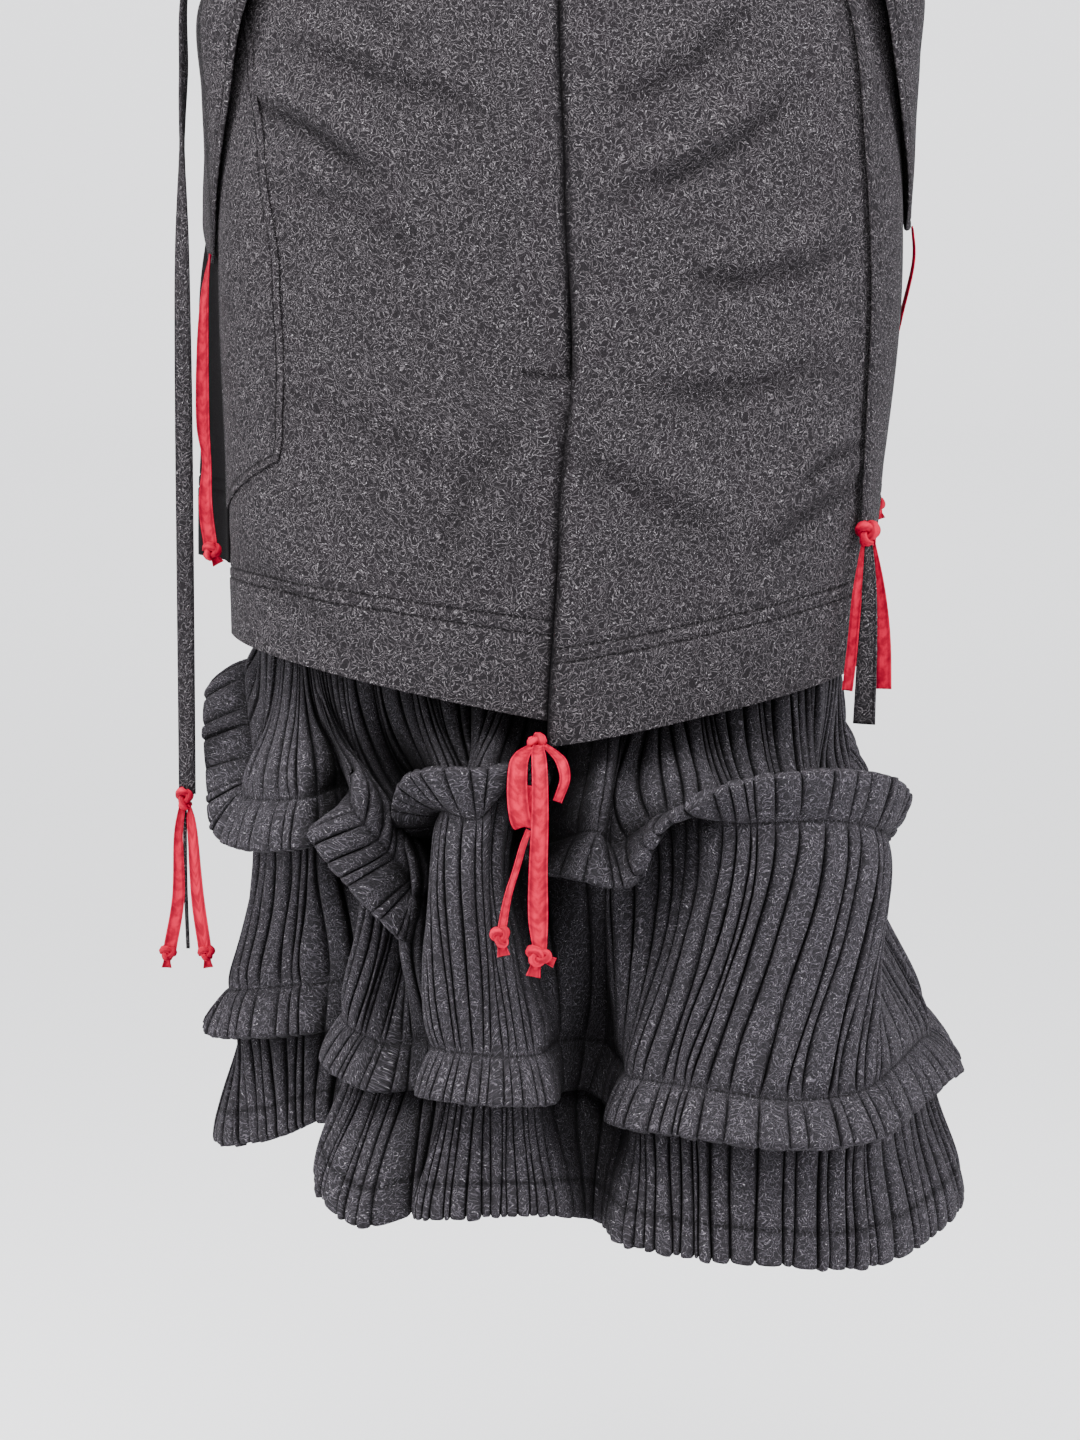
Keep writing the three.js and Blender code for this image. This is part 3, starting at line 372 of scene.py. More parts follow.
lowerTuck = table(tuckColumns, [
    ["back", 0, 90, 0, 150, -655, 90, -55, 1],
    ["back left crest", 3.3, 106, -66, 170, -676, 105, -50, 1],
    ["back left dip", 6.3, 123, -124, 132, -652, 130, -60, 1],
    ["left back crest", 9.1, 141, -176, 96, -680, 150, -50, 1],
    ["left side", 12, 160, -201, 42, -684, 170, -50, 1],
    ["left front side", 15, 178, -201, 5, -682, 184, -54, 1],
    ["left corner", 16.5, 186, -195, -23, -681, 205, -58, 1],
    ["left panel", 19.5, 207, -143, -58, -672, 240, -68, 1],
    ["left recess", 20.8, 214, -115, -60, -668, 258, -80, 1],
    ["slant fold", 22.5, 219, -133, -84, -680, 215, -68, 1],
    ["slant fold middle", 25.1, 227, -108, -112, -692, 240, -62, 0.8],
    ["slant fold end", 26.8, 233, -76, -113, -691, 262, -74, 0.4],
    ["inner turn", 28.5, 237, -62, -122, -689, 280, -85, 0.4],
    ["centre lobe corner", 30.6, 242, -80, -145, -688, 228, -68, 0.7],
    ["centre lobe", 34, 254, -46, -161, -689, 268, -58, 1],
    ["centre lobe end", 37, 266, -10, -154, -691, 292, -68, 1],
    ["recess side", 38.8, 272, -3, -120, -691, 300, -84, 1],
    ["recess", 40.2, 277, 11, -103, -694, 270, -80, 1],
    ["recess end", 41.6, 282, 27, -116, -702, 255, -80, 1],
    ["right lobe corner", 43.2, 288, 24, -142, -704, 240, -66, 1],
    ["right lobe", 46, 300, 62, -166, -705, 266, -58, 1],
    ["right lobe middle", 48.5, 313, 120, -176, -710, 276, -56, 1],
    ["right lobe end", 50.8, 328, 168, -148, -711, 308, -60, 1],
    ["right notch", 52.4, 337, 187, -112, -706, 328, -68, 1],
    ["right flare", 54.5, 348, 212, -58, -698, 345, -52, 1],
    ["right side", 57, 364, 221, -6, -702, 362, -50, 1],
    ["right back", 60, 384, 200, 62, -684, 382, -52, 1],
    ["right back dip", 63, 408, 118, 128, -662, 412, -58, 1],
])
hem = table(["fold", "at", "x", "y", "z"], [
    ["back", 0, 0, 142, -752],
    ["back left", 4, -80, 158, -764],
    ["left back", 8, -152, 112, -752],
    ["left side", 12, -195, 54, -752],
    ["left corner", 15, -194, 18, -750],
    ["left panel", 17.5, -165, -20, -738],
    ["left recess", 20, -137, -35, -725],
    ["left recess end", 21.3, -118, -46, -723],
    ["slant fold", 23, -135, -80, -748],
    ["slant fold foot", 26, -111, -119, -765],
    ["slant fold end", 27, -84, -118, -758],
    ["inner turn", 28.7, -70, -124, -756],
    ["centre left", 30.6, -82, -134, -757],
    ["centre", 34, -44, -141, -754],
    ["centre right", 38, -6, -139, -754],
    ["recess", 40.5, 17, -114, -763],
    ["right lobe corner", 43, 36, -141, -770],
    ["right lobe", 46, 72, -151, -774],
    ["right lobe middle", 48.5, 116, -151, -778],
    ["right lobe end", 51, 155, -131, -784],
    ["right front side", 53, 188, -94, -784],
    ["right side", 56, 220, -26, -773],
    ["right back", 59, 208, 42, -764],
    ["right back dip", 62.5, 140, 112, -756],
])


def ringPoint(section, angle, z):
    angle = np.asarray(angle, float)
    x, y = np.cos(np.radians(angle)), np.sin(np.radians(angle))
    wide, deep = (np.sign(part) * np.abs(part) ** squareness for part in (x, y))
    wide = wide * np.where(x < 0, section["left"], section["right"])
    deep = deep * np.where(y < 0, section["front"], section["back"])
    return np.stack([wide, deep, z + 0 * x], -1)


# which row comes before a pleat, and how far the pleat is on its way to the next
def foldBefore(rows, at):
    counts = np.array([row["at"] for row in rows] + [pleatCount], float)
    turned = np.mod(at, pleatCount)
    index = np.clip(np.searchsorted(counts, turned, side="right") - 1, 0, len(rows) - 1)
    return index, (turned - counts[index]) / (counts[index + 1] - counts[index])


def foldLine(rows, points):
    def lineAt(at):
        index, share = foldBefore(rows, at)
        return curveThrough(points, index + share, closed=True)
    return lineAt


def tuckAt(rows, at):
    edges = np.array([[row["x"], row["y"], row["z"]] for row in rows], float)
    along = np.roll(edges, -1, 0) - np.roll(edges, 1, 0)
    tip = direction(np.array([row["aim"] for row in rows]), np.array([row["lean"] for row in rows]))
    tip = unit(tip - along * ((tip * along).sum(1) / (along ** 2).sum(1))[:, None])
    stitches = edges - tip * tuckDepth
    edgeLine, stitchLine = foldLine(rows, edges), foldLine(rows, stitches)
    edge, stitch = edgeLine(at), stitchLine(at)
    along = unit(edgeLine(at + 0.2) - edgeLine(at - 0.2))
    tip = unit(edge - stitch)
    index, share = foldBefore(rows, at)
    flows = np.array([row["flow"] for row in rows])
    flow = mix(flows[index], flows[(index + 1) % len(rows)], share)[:, None]
    side = unit(np.cross(tip, along))
    return {"edge": edge, "stitch": stitch, "along": along, "tip": tip, "side": side, "flow": flow}


up = np.array([0.0, 0.0, 1.0])
meets = {"sink": 0.5, "aside": 0.8}              # how cloth comes down to a tuck's stitches
leaves = {"sink": 2.4, "aside": 0.9}             # and how it falls from under them


def reachTuck(tuck):
    apart = np.maximum(np.maximum(tuck["tip"][:, 2], np.abs(tuck["along"][:, 2])), 0)[:, None]
    follow = unit(tuck["tip"] - meets["sink"] * up - tuck["side"] * meets["aside"] * apart)
    return follow * tuck["flow"] + up * (tuck["flow"] - 1)


def leaveTuck(tuck):
    apart = np.maximum(np.maximum(-tuck["tip"][:, 2], np.abs(tuck["along"][:, 2])), 0)[:, None]
    return unit(-tuck["tip"] - leaves["sink"] * up - tuck["side"] * leaves["aside"] * apart)


def hangAngle(at):
    index, share = foldBefore(upperTuck, at)
    hangs = np.array([row["hangs"] for row in upperTuck] + [upperTuck[0]["hangs"] + 360], float)
    return mix(hangs[index], hangs[index + 1], (1 - np.cos(np.pi * share)) / 2)


pleats = {
    "ribs": 128, "height": 3.5, "narrow": 0.4, "wide": 1.6, "seed": 5, "low": 0.6, "tall": 1.15,
    "tilt": 0.5, "mmApart": 15, "ripple": 0.35,
    "waves": table(["size", "long", "turn"], [[0.3, 17, 9], [0.25, 9, 5]]),
    "drifts": table(["size", "long", "turn", "often"], [[0.9, 31, 5, 0.9], [0.5, 14, 7, 1.7]]),
}
ribRandom = np.random.default_rng(pleats["seed"])
ribWidths = ribRandom.uniform(pleats["narrow"], pleats["wide"], pleats["ribs"])
ribWidths *= pleatCount / ribWidths.sum()
ribStarts = np.concatenate([[0], np.cumsum(ribWidths)[:-1]])
ribTall = ribRandom.uniform(pleats["low"], pleats["tall"], pleats["ribs"])
ribTilt = ribRandom.uniform(-pleats["tilt"], pleats["tilt"], pleats["ribs"])
ribShare = np.array([0.0, 0.05, 0.13, 0.3, 0.5, 0.7, 0.87, 0.95])
ribRise = np.array([0.0, 0.5, 0.84, 0.98, 1.0, 0.98, 0.84, 0.5])      # broad ridges and narrow grooves
stops = (ribStarts[:, None] + ribWidths[:, None] * ribShare).reshape(-1)
rise = (ribTall[:, None] * ribRise * (1 + ribTilt[:, None] * (ribShare - 0.5))).reshape(-1)
# painted shade, deepest in the middle of each pleat's groove
paintedGrooveShade = np.tile((1 - ribRise) ** 1.5, pleats["ribs"])
sideways = np.repeat(ribRandom.normal(0, 1, pleats["ribs"]), len(ribShare))

upper, lower = tuckAt(upperTuck, stops), tuckAt(lowerTuck, stops)
hemPoints = foldLine(hem, np.array([[row["x"], row["y"], row["z"]] for row in hem], float))(stops)

flangeSteps = np.array([0.0, 0.06, 0.18, 0.36, 0.56, 0.76, 0.9, 0.975, 1.0])
flangePuff = np.array([0.3, 0.8, 1.35, 1.6, 1.7, 1.65, 1.3, 0.7, 0.0])   # the tuck is full, its edge round


def flangeRows(tuck, layer):
    rows = [tuck["stitch"] + (tuck["edge"] - tuck["stitch"]) * s + tuck["side"] * layer * puff
            for s, puff in zip(flangeSteps, flangePuff)]
    return np.array(rows)


def fallRows(a, leave, b, reach, count):
    k = np.linspace(0, 1, count)
    t = 0.55 * k + 0.45 * (0.5 - 0.5 * np.cos(np.pi * k))
    return np.array([drape(a, leave, b, reach, x) for x in t[1:-1]])


# how full the pleats stand: pressed flat along each stitched row
def pinch(p, stitchedRows, reach=6.0, least=0.12):
    full = np.ones(p.shape[:2])
    down = runLengths(p, 0)
    for row in stitchedRows:
        full *= least + (1 - least) * (1 - np.exp(-(np.abs(down - down[row]) / reach) ** 1.3))
    return full


def pleatedPiece(name, p, full, nodes, seamRows):
    spread = np.linalg.norm(np.roll(p, -1, 1) - np.roll(p, 1, 1), axis=-1)
    stepAt = np.mod(np.roll(stops, -1) - np.roll(stops, 1), pleatCount)
    room = np.clip(spread / stepAt / pleats["mmApart"], 0.2, 1.1)      # crowded pleats stand lower
    height = pleats["height"] * rise * full * room
    down = runLengths(p, 0)
    ripple = sum(w["size"] * np.sin(down / w["long"] + sideways * w["turn"]) for w in pleats["waves"])
    shaped = p + gridNormals(p, True) * (height * (1 + pleats["ripple"] * ripple))[..., None]
    along = unit(np.roll(p, -1, 1) - np.roll(p, 1, 1))
    drift = sum(w["size"] * np.sin(down / w["long"] + w["turn"] * np.sin(stops * w["often"]))
                for w in pleats["drifts"])
    shaped = shaped + along * (drift * np.clip(room, 0, 1) * full)[..., None]      # no groove runs straight
    # painted shade in the grooves, fading where the pleats are pressed flat
    masks = {"groove": paintedGrooveShade * np.clip(full * 1.4, 0, 1), "seam": np.zeros(full.shape)}
    masks["seam"][seamRows] = 0.8
    piece = gridMesh(name, shaped, closed=True, material=pleatCloth, masks=masks)
    place(piece, nodes)


# the pleats stand lower in the tucks than between them
def inTuck(count):
    return np.linspace(0.75, 0.6, count)[:, None]


upperTier = {"rows": 30, "gathered": 6}
top = ringPoint(yokeFoot, hangAngle(stops), yokeFoot["z"] - 0.5)
flange = flangeRows(upper, 1)
reachBy = np.linalg.norm(top - flange[0], axis=1, keepdims=True)
fall = fallRows(top, -2.1 * reachBy * up, flange[0], reachTuck(upper) * reachBy, upperTier["rows"])
sheet = np.concatenate([top[None], fall, flange])
fold = len(fall) + 1
full = pinch(sheet, [fold])
full[:upperTier["gathered"]] *= np.linspace(0.5, 1, upperTier["gathered"])[:, None]
full[fold + 1:] *= inTuck(len(sheet) - fold - 1)
full[-1] = 0
pleatedPiece("upperTier", sheet, full, ["upper_tier_front", "upper_tier_back"], [fold])

middleTier = {"rows": 44, "swells": table(["at", "spread", "x", "y"], [          # here the cloth fills out
    [31.2, 1.9, -13, -3], [49, 3, 3, -5], [12, 3, -4, 0]])}
head, foot = flangeRows(upper, -1), flangeRows(lower, 1)
reachBy = np.linalg.norm(head[0] - foot[0], axis=1, keepdims=True)
fall = fallRows(head[0], leaveTuck(upper) * reachBy, foot[0], reachTuck(lower) * 0.8 * reachBy,
                middleTier["rows"])
rounded = np.sin(np.pi * np.linspace(0, 1, len(fall) + 2)[1:-1]) ** 1.2
for swell in middleTier["swells"]:
    away = (np.mod(stops - swell["at"] + pleatCount / 2, pleatCount) - pleatCount / 2) / swell["spread"]
    fall += (rounded[:, None] * np.exp(-away ** 2))[..., None] * np.array([swell["x"], swell["y"], 0])
sheet = np.concatenate([head[::-1], fall, foot])
headFold, footFold = len(head) - 1, len(head) + len(fall)
full = pinch(sheet, [headFold, footFold])
full[:headFold] *= inTuck(headFold)[::-1]
full[footFold + 1:] *= inTuck(len(sheet) - footFold - 1)
full[[0, -1]] = 0
pleatedPiece("middleTier", sheet, full, ["middle_tier_front", "middle_tier_back"],
             [headFold, footFold])

lowerTier = {"rows": 34, "turnUp": 20, "turned": 2.2}
head = flangeRows(lower, -1)
reachBy = np.linalg.norm(head[0] - hemPoints, axis=1, keepdims=True)
fall = fallRows(head[0], leaveTuck(lower) * 0.9 * reachBy, hemPoints, -0.7 * reachBy * up,
                lowerTier["rows"])
sheet = np.concatenate([head[::-1], fall, hemPoints[None]])
headFold = len(head) - 1
full = pinch(sheet, [headFold])
full[:headFold] *= inTuck(headFold)[::-1]
full[0] = 0
hemDown = runLengths(sheet, 0)
hemRow = int(np.argmin(np.abs((hemDown[-1] - hemDown).mean(1) - lowerTier["turnUp"])))
normal = gridNormals(sheet, True)
turned = [sheet[-1] - normal[-1] * 1.2] + [sheet[-k] - normal[-k] * lowerTier["turned"] for k in (3, 5, 7)]
sheet = np.concatenate([sheet, np.array(turned)])
full = np.concatenate([full, np.repeat(full[-2:-1], len(turned), 0)])
pleatedPiece("lowerTier", sheet, full, ["lower_tier_front", "lower_tier_back"],
             [headFold, hemRow])
print("underskirt made")

yoke = {"steps": 160, "rows": 14, "thick": 0.9}
sides = ["left", "right", "front", "back"]
yokeTable = table(["z"] + sides, [
    [-bandHeight - 0.8, 135, 135, 93, 97], [-110, 160, 160, 98, 106], [-220, 168, 164, 104, 112],
    [-440, 166, 150, 102, 108]])


def sectionsAt(rows, z):
    heights = [row["z"] for row in rows][::-1]
    return {side: np.interp(z, heights, [row[side] for row in rows][::-1]) for side in sides}


angles = np.linspace(0, 360, yoke["steps"], endpoint=False)
rings = []
for z in np.linspace(yokeTable[0]["z"], yokeTable[-1]["z"] + 0.3, yoke["rows"]):
    rings.append(ringPoint(sectionsAt(yokeTable, z), angles, z))
rings = np.array(rings)
rings += gridNormals(rings, True) * 0.6
yokePiece = thicken(gridMesh("hipYoke", rings, closed=True, material=pleatCloth), yoke["thick"])
place(yokePiece, ["yoke_front", "yoke_back"])

band = {"steps": 220, "inside": {"left": 136, "right": 136, "front": 94, "back": 98}}
profile = [(0.2, -39.2), (0.0, -30), (0.0, -10), (0.2, -1.2), (1.2, 0), (2.8, 0), (3.8, -1.2), (4.0, -5.2),
           (3.7, -6), (4.0, -6.8), (4.1, -20), (4.0, -33.2), (3.7, -34), (4.0, -34.8), (3.8, -38.8),
           (2.8, -40),
           (1.2, -40), (0.2, -39.2)]
angles = np.linspace(0, 360, band["steps"], endpoint=False)
base = ringPoint(band["inside"], angles, 0)
outward = gridNormals(np.stack([base, base - [0, 0, 10]]), True)[0]
rings = np.array([base + outward * off + up * z for off, z in profile])
ripple = 0.35 * np.sin(np.radians(angles) * 31) + 0.25 * np.sin(np.radians(angles) * 47 + 1)
uneven = np.array([0.2, 0.6, 0.3, 0.8, 1, 0.8, 0.3, 0.6, 0.2])
rings[6:15] += outward * (ripple[:, None] * uneven[:, None, None])
stitched = np.zeros(rings.shape[:2])
stitched[[8, 12]] = 1
masks = {"seam": stitched, "groove": 0 * stitched}
bandPiece = gridMesh("waistBand", rings, closed=True, material=overCloth, masks=masks, flip=True)
place(bandPiece, ["waistband"])
print("yoke and waistband made")

# the overskirt's form: how far it reaches to each side at each height, and the soft flutes that stand on it
bodySections = table(["z"] + sides, [
    [-40, 138, 138, 96, 100], [-75, 166, 166, 106, 114], [-115, 180, 178, 114, 126],
    [-180, 186, 182, 120, 134],
    [-270, 187, 183, 125, 137], [-360, 184, 174, 127, 134], [-500, 182, 160, 129, 128]])
flutes = table(["angle", "spread", "hip", "thigh", "foot"], [
    [162, 11, 10, 24, 29], [120, 16, 2, 5, 9], [72, 15, 2, 5, 8], [40, 14, 2, 5, 9]])
frontLine = table(["z", "x"], [[-40, -4], [-110, -4], [-200, -1], [-288, 3], [-380, -4], [-505, -10]])
vent = {"top": -296, "full": -336, "underlap": 26, "lift": 3.4, "liftReach": 50}


def sectionAt(column, z):
    heights = np.array([row["z"] for row in bodySections], float)
    values = np.array([row[column] for row in bodySections], float)
    z = np.clip(np.asarray(z, float), heights[-1], heights[0])
    k = np.clip(np.searchsorted(-heights, -z, side="left"), 1, len(heights) - 1)
    share = (z - heights[k - 1]) / (heights[k] - heights[k - 1])
    before, a, b, after = [values[np.clip(k + i, 0, len(values) - 1)] for i in (-2, -1, 0, 1)]
    return drape(a, (b - before) / 2, b, (after - a) / 2, share)


def eased(rows, key, column, value):
    keys = np.array([row[key] for row in rows], float)
    values = np.array([row[column] for row in rows], float)
    if keys[-1] < keys[0]:
        keys, values = keys[::-1], values[::-1]
    k = np.clip(np.searchsorted(keys, value) - 1, 0, len(keys) - 2)
    share = np.clip((value - keys[k]) / (keys[k + 1] - keys[k]), 0, 1)
    return mix(values[k], values[k + 1], (1 - np.cos(np.pi * share)) / 2)


def bodyPoint(angle, z, lift=0.0):
    angle, z = np.broadcast_arrays(np.asarray(angle, float), np.asarray(z, float))
    section = {side: sectionAt(side, z) + lift for side in sides}
    point = ringPoint(section, angle, z)
    turned = np.mod(angle, 360)
    for flute in flutes:
        away = (turned - flute["angle"]) / flute["spread"]
        heights = [[-40, 0], [-180, flute["hip"]], [-290, flute["thigh"]], [-430, flute["foot"]]]
        tall = eased(table(["z", "tall"], heights), "z", "tall", z)
        point = point + direction(angle, 0 * angle) * (tall * np.exp(-away ** 2))[..., None]
    return point


# the angle at which the front of the form lies at x
def frontAngle(x, z):
    side = np.where(x < 0, sectionAt("left", z), sectionAt("right", z))
    share = np.minimum(np.abs(x) / side, 1) ** (1 / squareness)
    return 270 + np.sign(x) * np.degrees(np.arcsin(share))


# soft drag folds, each from one point to another in x and z; also a mask of painted shade in each fold's
# valley
def addCreases(p, creases, normal):
    paintedValleyShade = np.zeros(p.shape[:2])
    for crease in creases:
        a, b = np.array(crease["from"], float), np.array(crease["to"], float)
        run = (b - a) / np.linalg.norm(b - a)
        across = np.array([-run[1], run[0]])
        flat = np.stack([p[..., 0], p[..., 2]], -1) - a
        t = (flat @ run) / np.linalg.norm(b - a)
        bow = crease.get("bow", 0) * np.sin(np.pi * np.clip(t, 0, 1))
        off = (flat @ across - bow) / crease["wide"]
        ends = smooth(-0.15, 0.3, t) * (1 - smooth(0.65, 1.15, t))
        dip = np.exp(-((off + 1.15) / 0.65) ** 2)
        p = p + normal * (crease["high"] * (np.exp(-off ** 2) - 0.6 * dip) * ends)[..., None]
        paintedValleyShade = np.maximum(paintedValleyShade, dip * ends * 0.08 * crease["high"])
    return p, paintedValleyShade


# rows of a panel, in hem depths above its foot: close at the hem's edge and at both rows of stitches
hemRows = [0, 0.012, 0.04, 0.1, 0.2, 0.35, 0.55, 0.75, 0.9, 0.965, 1.0, 1.035, 1.08, 1.14, 1.175, 1.21, 1.3,
           1.5]
hemStitches = (1.0, 1.175)


# a panel from the waistband to its hem
def panel(name, piece, nodes):
    share = np.linspace(0, 1, piece["across"])
    share = share + piece.get("crowd", 0) * np.sin(2 * np.pi * share) / (2 * np.pi)
    foot = piece["foot"](share)
    hemDepth = mix(piece["hemDepth"][0], piece["hemDepth"][1], share)
    far = np.linspace(0, 1, piece["down"])[1:]
    topZ = -bandHeight - 1.4
    z = [foot + hemDepth * k for k in hemRows] + [mix(foot + hemDepth * hemRows[-1], topZ, k) for k in far]
    z = np.array(z)[::-1]
    angle = piece["angles"](z, share)
    p = bodyPoint(angle, z)
    if "lift" in piece:
        p = bodyPoint(angle, z, piece["lift"](p[..., 0], z))
    normal = gridNormals(p, False)
    p = p + normal * piece["thick"] / 2
    p, paintedValleyShade = addCreases(p, piece["creases"], normal)
    stitchRows = [len(z) - 1 - hemRows.index(k) for k in hemStitches]
    seam = np.zeros(p.shape[:2])
    seam[stitchRows] = 1
    puff = np.zeros(p.shape[:2])
    puff[stitchRows[0]:] = 0.55                                       # the hem is double cloth
    puff[stitchRows[1]:stitchRows[0]] = 0.3
    puff[stitchRows] -= 0.75
    wave = 0.35 * np.sin(runLengths(p, 1) / 11 + 2 * piece["seed"])     # the hem's stitches pucker it
    wave = wave * np.exp(-((z - foot - hemDepth) / 14) ** 2)
    edge = np.minimum(runLengths(p, 1), runLengths(p[:, ::-1], 1)[:, ::-1])
    roll = -1.8 * np.exp(-(edge / 1.8) ** 2)                           # cloth turns in at its seams
    p = p + normal * (puff + wave + roll)[..., None]
    for extra in piece.get("seams", []):
        seam = np.maximum(seam, extra(p[..., 0], z, share))
    # painted shade along the panel's side edges, where it turns in at its seams, and in the drag folds'
    # valleys
    shade = np.maximum(np.exp(-(edge / 1.1) ** 2), paintedValleyShade)
    for extra in piece.get("shades", []):
        shade = np.maximum(shade, extra(p[..., 0], z, share))
    made = gridMesh(name, p, material=overCloth, masks={"seam": seam, "groove": shade})
    thicken(made, piece["thick"])
    place(made, nodes)


# 0 above the vent, 1 where it is fully open
def ventShare(z):
    return 1 - smooth(vent["full"], vent["top"], z)


def centreX(z):
    return eased(frontLine, "z", "x", z)


# angle 270 is the middle of the front, 180 the left side and 360 the right side
frontLeft = {
    "across": 150, "down": 100, "thick": 1.7, "seed": 1, "hemDepth": (31, 47), "crowd": 0.55,
    "foot": lambda share: mix(-455, -496, 1 - np.cos(np.radians(share * 84)) ** 0.9),
    "angles": lambda z, share: mix(
        183.08, frontAngle(centreX(z) - 0.25 + vent["underlap"] * ventShare(z), z), share),
    "creases": [
        {"from": (-168, -150), "to": (-92, -196), "wide": 8.0, "high": 6.1, "bow": 6},
        {"from": (-160, -190), "to": (-60, -238), "wide": 9.6, "high": 2.6, "bow": 8},
        {"from": (-150, -116), "to": (-40, -150), "wide": 10.4, "high": 3.7},
        {"from": (-10, -330), "to": (-60, -420), "wide": 11.2, "high": 3.7, "bow": -5},
        {"from": (-150, -300), "to": (-40, -352), "wide": 12.8, "high": 1.8, "bow": 7},
        {"from": (-176, -395), "to": (-110, -440), "wide": 10.4, "high": 2.8, "bow": 4},
        {"from": (-120, -70), "to": (-70, -130), "wide": 9.6, "high": 2.8},
    ],
    "seams": [                                                         # bar tack over the vent
        lambda x, z, share: 1.0 * (np.abs(z + 301) < 1.7) * (x > -26) * (x < 6)],
    "shades": [                                                        # painted shadow under the vent's edge
        lambda x, z, share: ventShare(z) * 0.85 * np.exp(-np.clip(centreX(z) - x, 0, 99) ** 2)
        + ventShare(z) * 0.35 * np.exp(-np.clip(centreX(z) - x, 0, 99) / 4.5)],
}
frontRight = {
    "across": 150, "down": 100, "thick": 1.7, "seed": 2, "hemDepth": (45, 43), "crowd": 0.55,
    "foot": lambda share: mix(-469, -502, 1 - np.sin(np.radians(3 + share * 84)) ** 0.9),
    "angles": lambda z, share: mix(frontAngle(centreX(z) + 0.25, z), 356.92, share),
    "lift": lambda x, z: (                                             # clear of the left front's underlap
        vent["lift"] * (1 - smooth(vent["top"] + 10, vent["top"] + 60, z))
        * (1 - smooth(vent["underlap"] + 8, vent["underlap"] + 8 + vent["liftReach"], x - centreX(z)))),
    "creases": [
        {"from": (28, -196), "to": (120, -140), "wide": 8.8, "high": 5.5, "bow": -7},
        {"from": (60, -240), "to": (152, -222), "wide": 9.6, "high": 4.6, "bow": -8},
        {"from": (20, -150), "to": (96, -92), "wide": 10.4, "high": 4.2, "bow": -5},
        {"from": (118, -360), "to": (156, -338), "wide": 6.4, "high": 5.1, "bow": 5},
        {"from": (96, -392), "to": (160, -352), "wide": 9.6, "high": 4.6, "bow": 4},
        {"from": (10, -330), "to": (90, -380), "wide": 12.0, "high": 3.2},
        {"from": (40, -300), "to": (150, -282), "wide": 10.4, "high": 3.5, "bow": -6},
    ],
}
panel("overFrontLeft", frontLeft, ["over_front_left"])
panel("overFrontRight", frontRight, ["over_front_right"])
backEdges = {"right": -2.92, "left": 182.92, "inset": 159}
backHem = table(["angle", "z"], [[0, -417], [45, -425], [90, -430], [135, -424], [183, -417]])


def backAngle(share):
    return mix(backEdges["right"], backEdges["left"], share)


back = {
    "across": 220, "down": 80, "thick": 1.7, "seed": 3, "hemDepth": (38, 38),
    "foot": lambda share: eased(backHem, "angle", "z", mix(0, 183, share)),
    "angles": lambda z, share: backAngle(share) + 0 * z,
    "creases": [
        {"from": (150, -130), "to": (60, -190), "wide": 9.6, "high": 5.1, "bow": -6},
        {"from": (-150, -140), "to": (-50, -200), "wide": 9.6, "high": 5.1, "bow": 6},
        {"from": (120, -260), "to": (20, -300), "wide": 12.0, "high": 3.7, "bow": -6},
        {"from": (-130, -250), "to": (-30, -310), "wide": 11.2, "high": 3.7, "bow": 8},
        {"from": (60, -330), "to": (120, -400), "wide": 11.2, "high": 4.2},
        {"from": (-80, -340), "to": (-130, -405), "wide": 11.2, "high": 4.2},
    ],
    "seams": [                                                         # centre back seam
        lambda x, z, share: 0.9 * (np.abs(backAngle(share) - 90) < 0.45) + 0 * z],
    "shades": [                                                        # painted shade: the back's left side, in shadow beside the left front, painted near black
        lambda x, z, share: smooth(backEdges["inset"], backEdges["inset"] + 1.5, backAngle(share)) + 0 * z],
}
panel("overBack", back, ["over_back"])
print("overskirt made")

pocketEdge = table(["z", "x"], [
    [-100, -172], [-140, -166], [-185, -160], [-255, -152], [-300, -150], [-335, -151], [-362, -154]])


# a lined piece laid on the overskirt's form; its edge is turned in and stitched
def overlay(name, piece, nodes):
    p, off = piece["points"], piece["off"]
    normal = gridNormals(p, False)
    if piece["turned"]:
        normal = -normal
    sideway = np.minimum(runLengths(p, 1), runLengths(p[:, ::-1], 1)[:, ::-1])
    upway = np.minimum(runLengths(p, 0) + (1000 if piece["openTop"] else 0), runLengths(p[::-1], 0)[::-1])
    inside = np.minimum(sideway, upway)
    dome = piece["thick"] / 2 * (np.clip(inside / 1.6, 0, 1) ** 0.5 - 1)
    dent = -0.35 * np.exp(-((inside - piece["stitch"]) / 0.9) ** 2)
    seam = np.exp(-((inside - piece["stitch"]) / 0.7) ** 4)
    p = p + normal * (off + dome + dent)[..., None]
    masks = {"seam": seam, "groove": 0 * seam}
    made = gridMesh(name, p, material=overCloth, masks=masks, flip=piece["turned"])
    thicken(made, piece["thick"])
    place(made, nodes)


# steps from 0 to 1 that crowd towards both ends
def crowded(count, edge):
    k = np.linspace(0, 1, count)
    return k - edge * np.sin(2 * np.pi * k) / (2 * np.pi)


pocket = {
    "off": 0.9, "thick": 0.9, "stitch": 5.0, "lift": 1.9, "top": -104, "foot": (-386, -352),
    "sideAngle": 184.0, "on": ["over_front_left"], "turned": False, "openTop": False}
share, down = crowded(60, 0.75), crowded(150, 0.5)
z = mix(pocket["top"], mix(*pocket["foot"], share)[None, :], down[:, None])
angle = mix(pocket["sideAngle"], frontAngle(eased(pocketEdge, "z", "x", z), z), share[None, :])
pocket["points"] = bodyPoint(angle, z, pocket["lift"])
overlay("pocketLeft", pocket, ["pocket_left"])

flaps = {"off": 0.9, "thick": 1.8, "stitch": 5.0, "openTop": True, "on": ["waistband"]}
flapTop = {"z": -bandHeight - 1.8, "front": 24, "back": 30, "clear": 3.1}
flapTable = table(["z", "front", "back", "off"], [
    [-66, 26, 32, 8], [-100, 27, 30, 18], [-147, 21, 27, 11], [-178, 15, 22, 8], [-204, 9, 17, 6.5],
    [-222, 4, 11, 5], [-240, -2, 4, 4]])


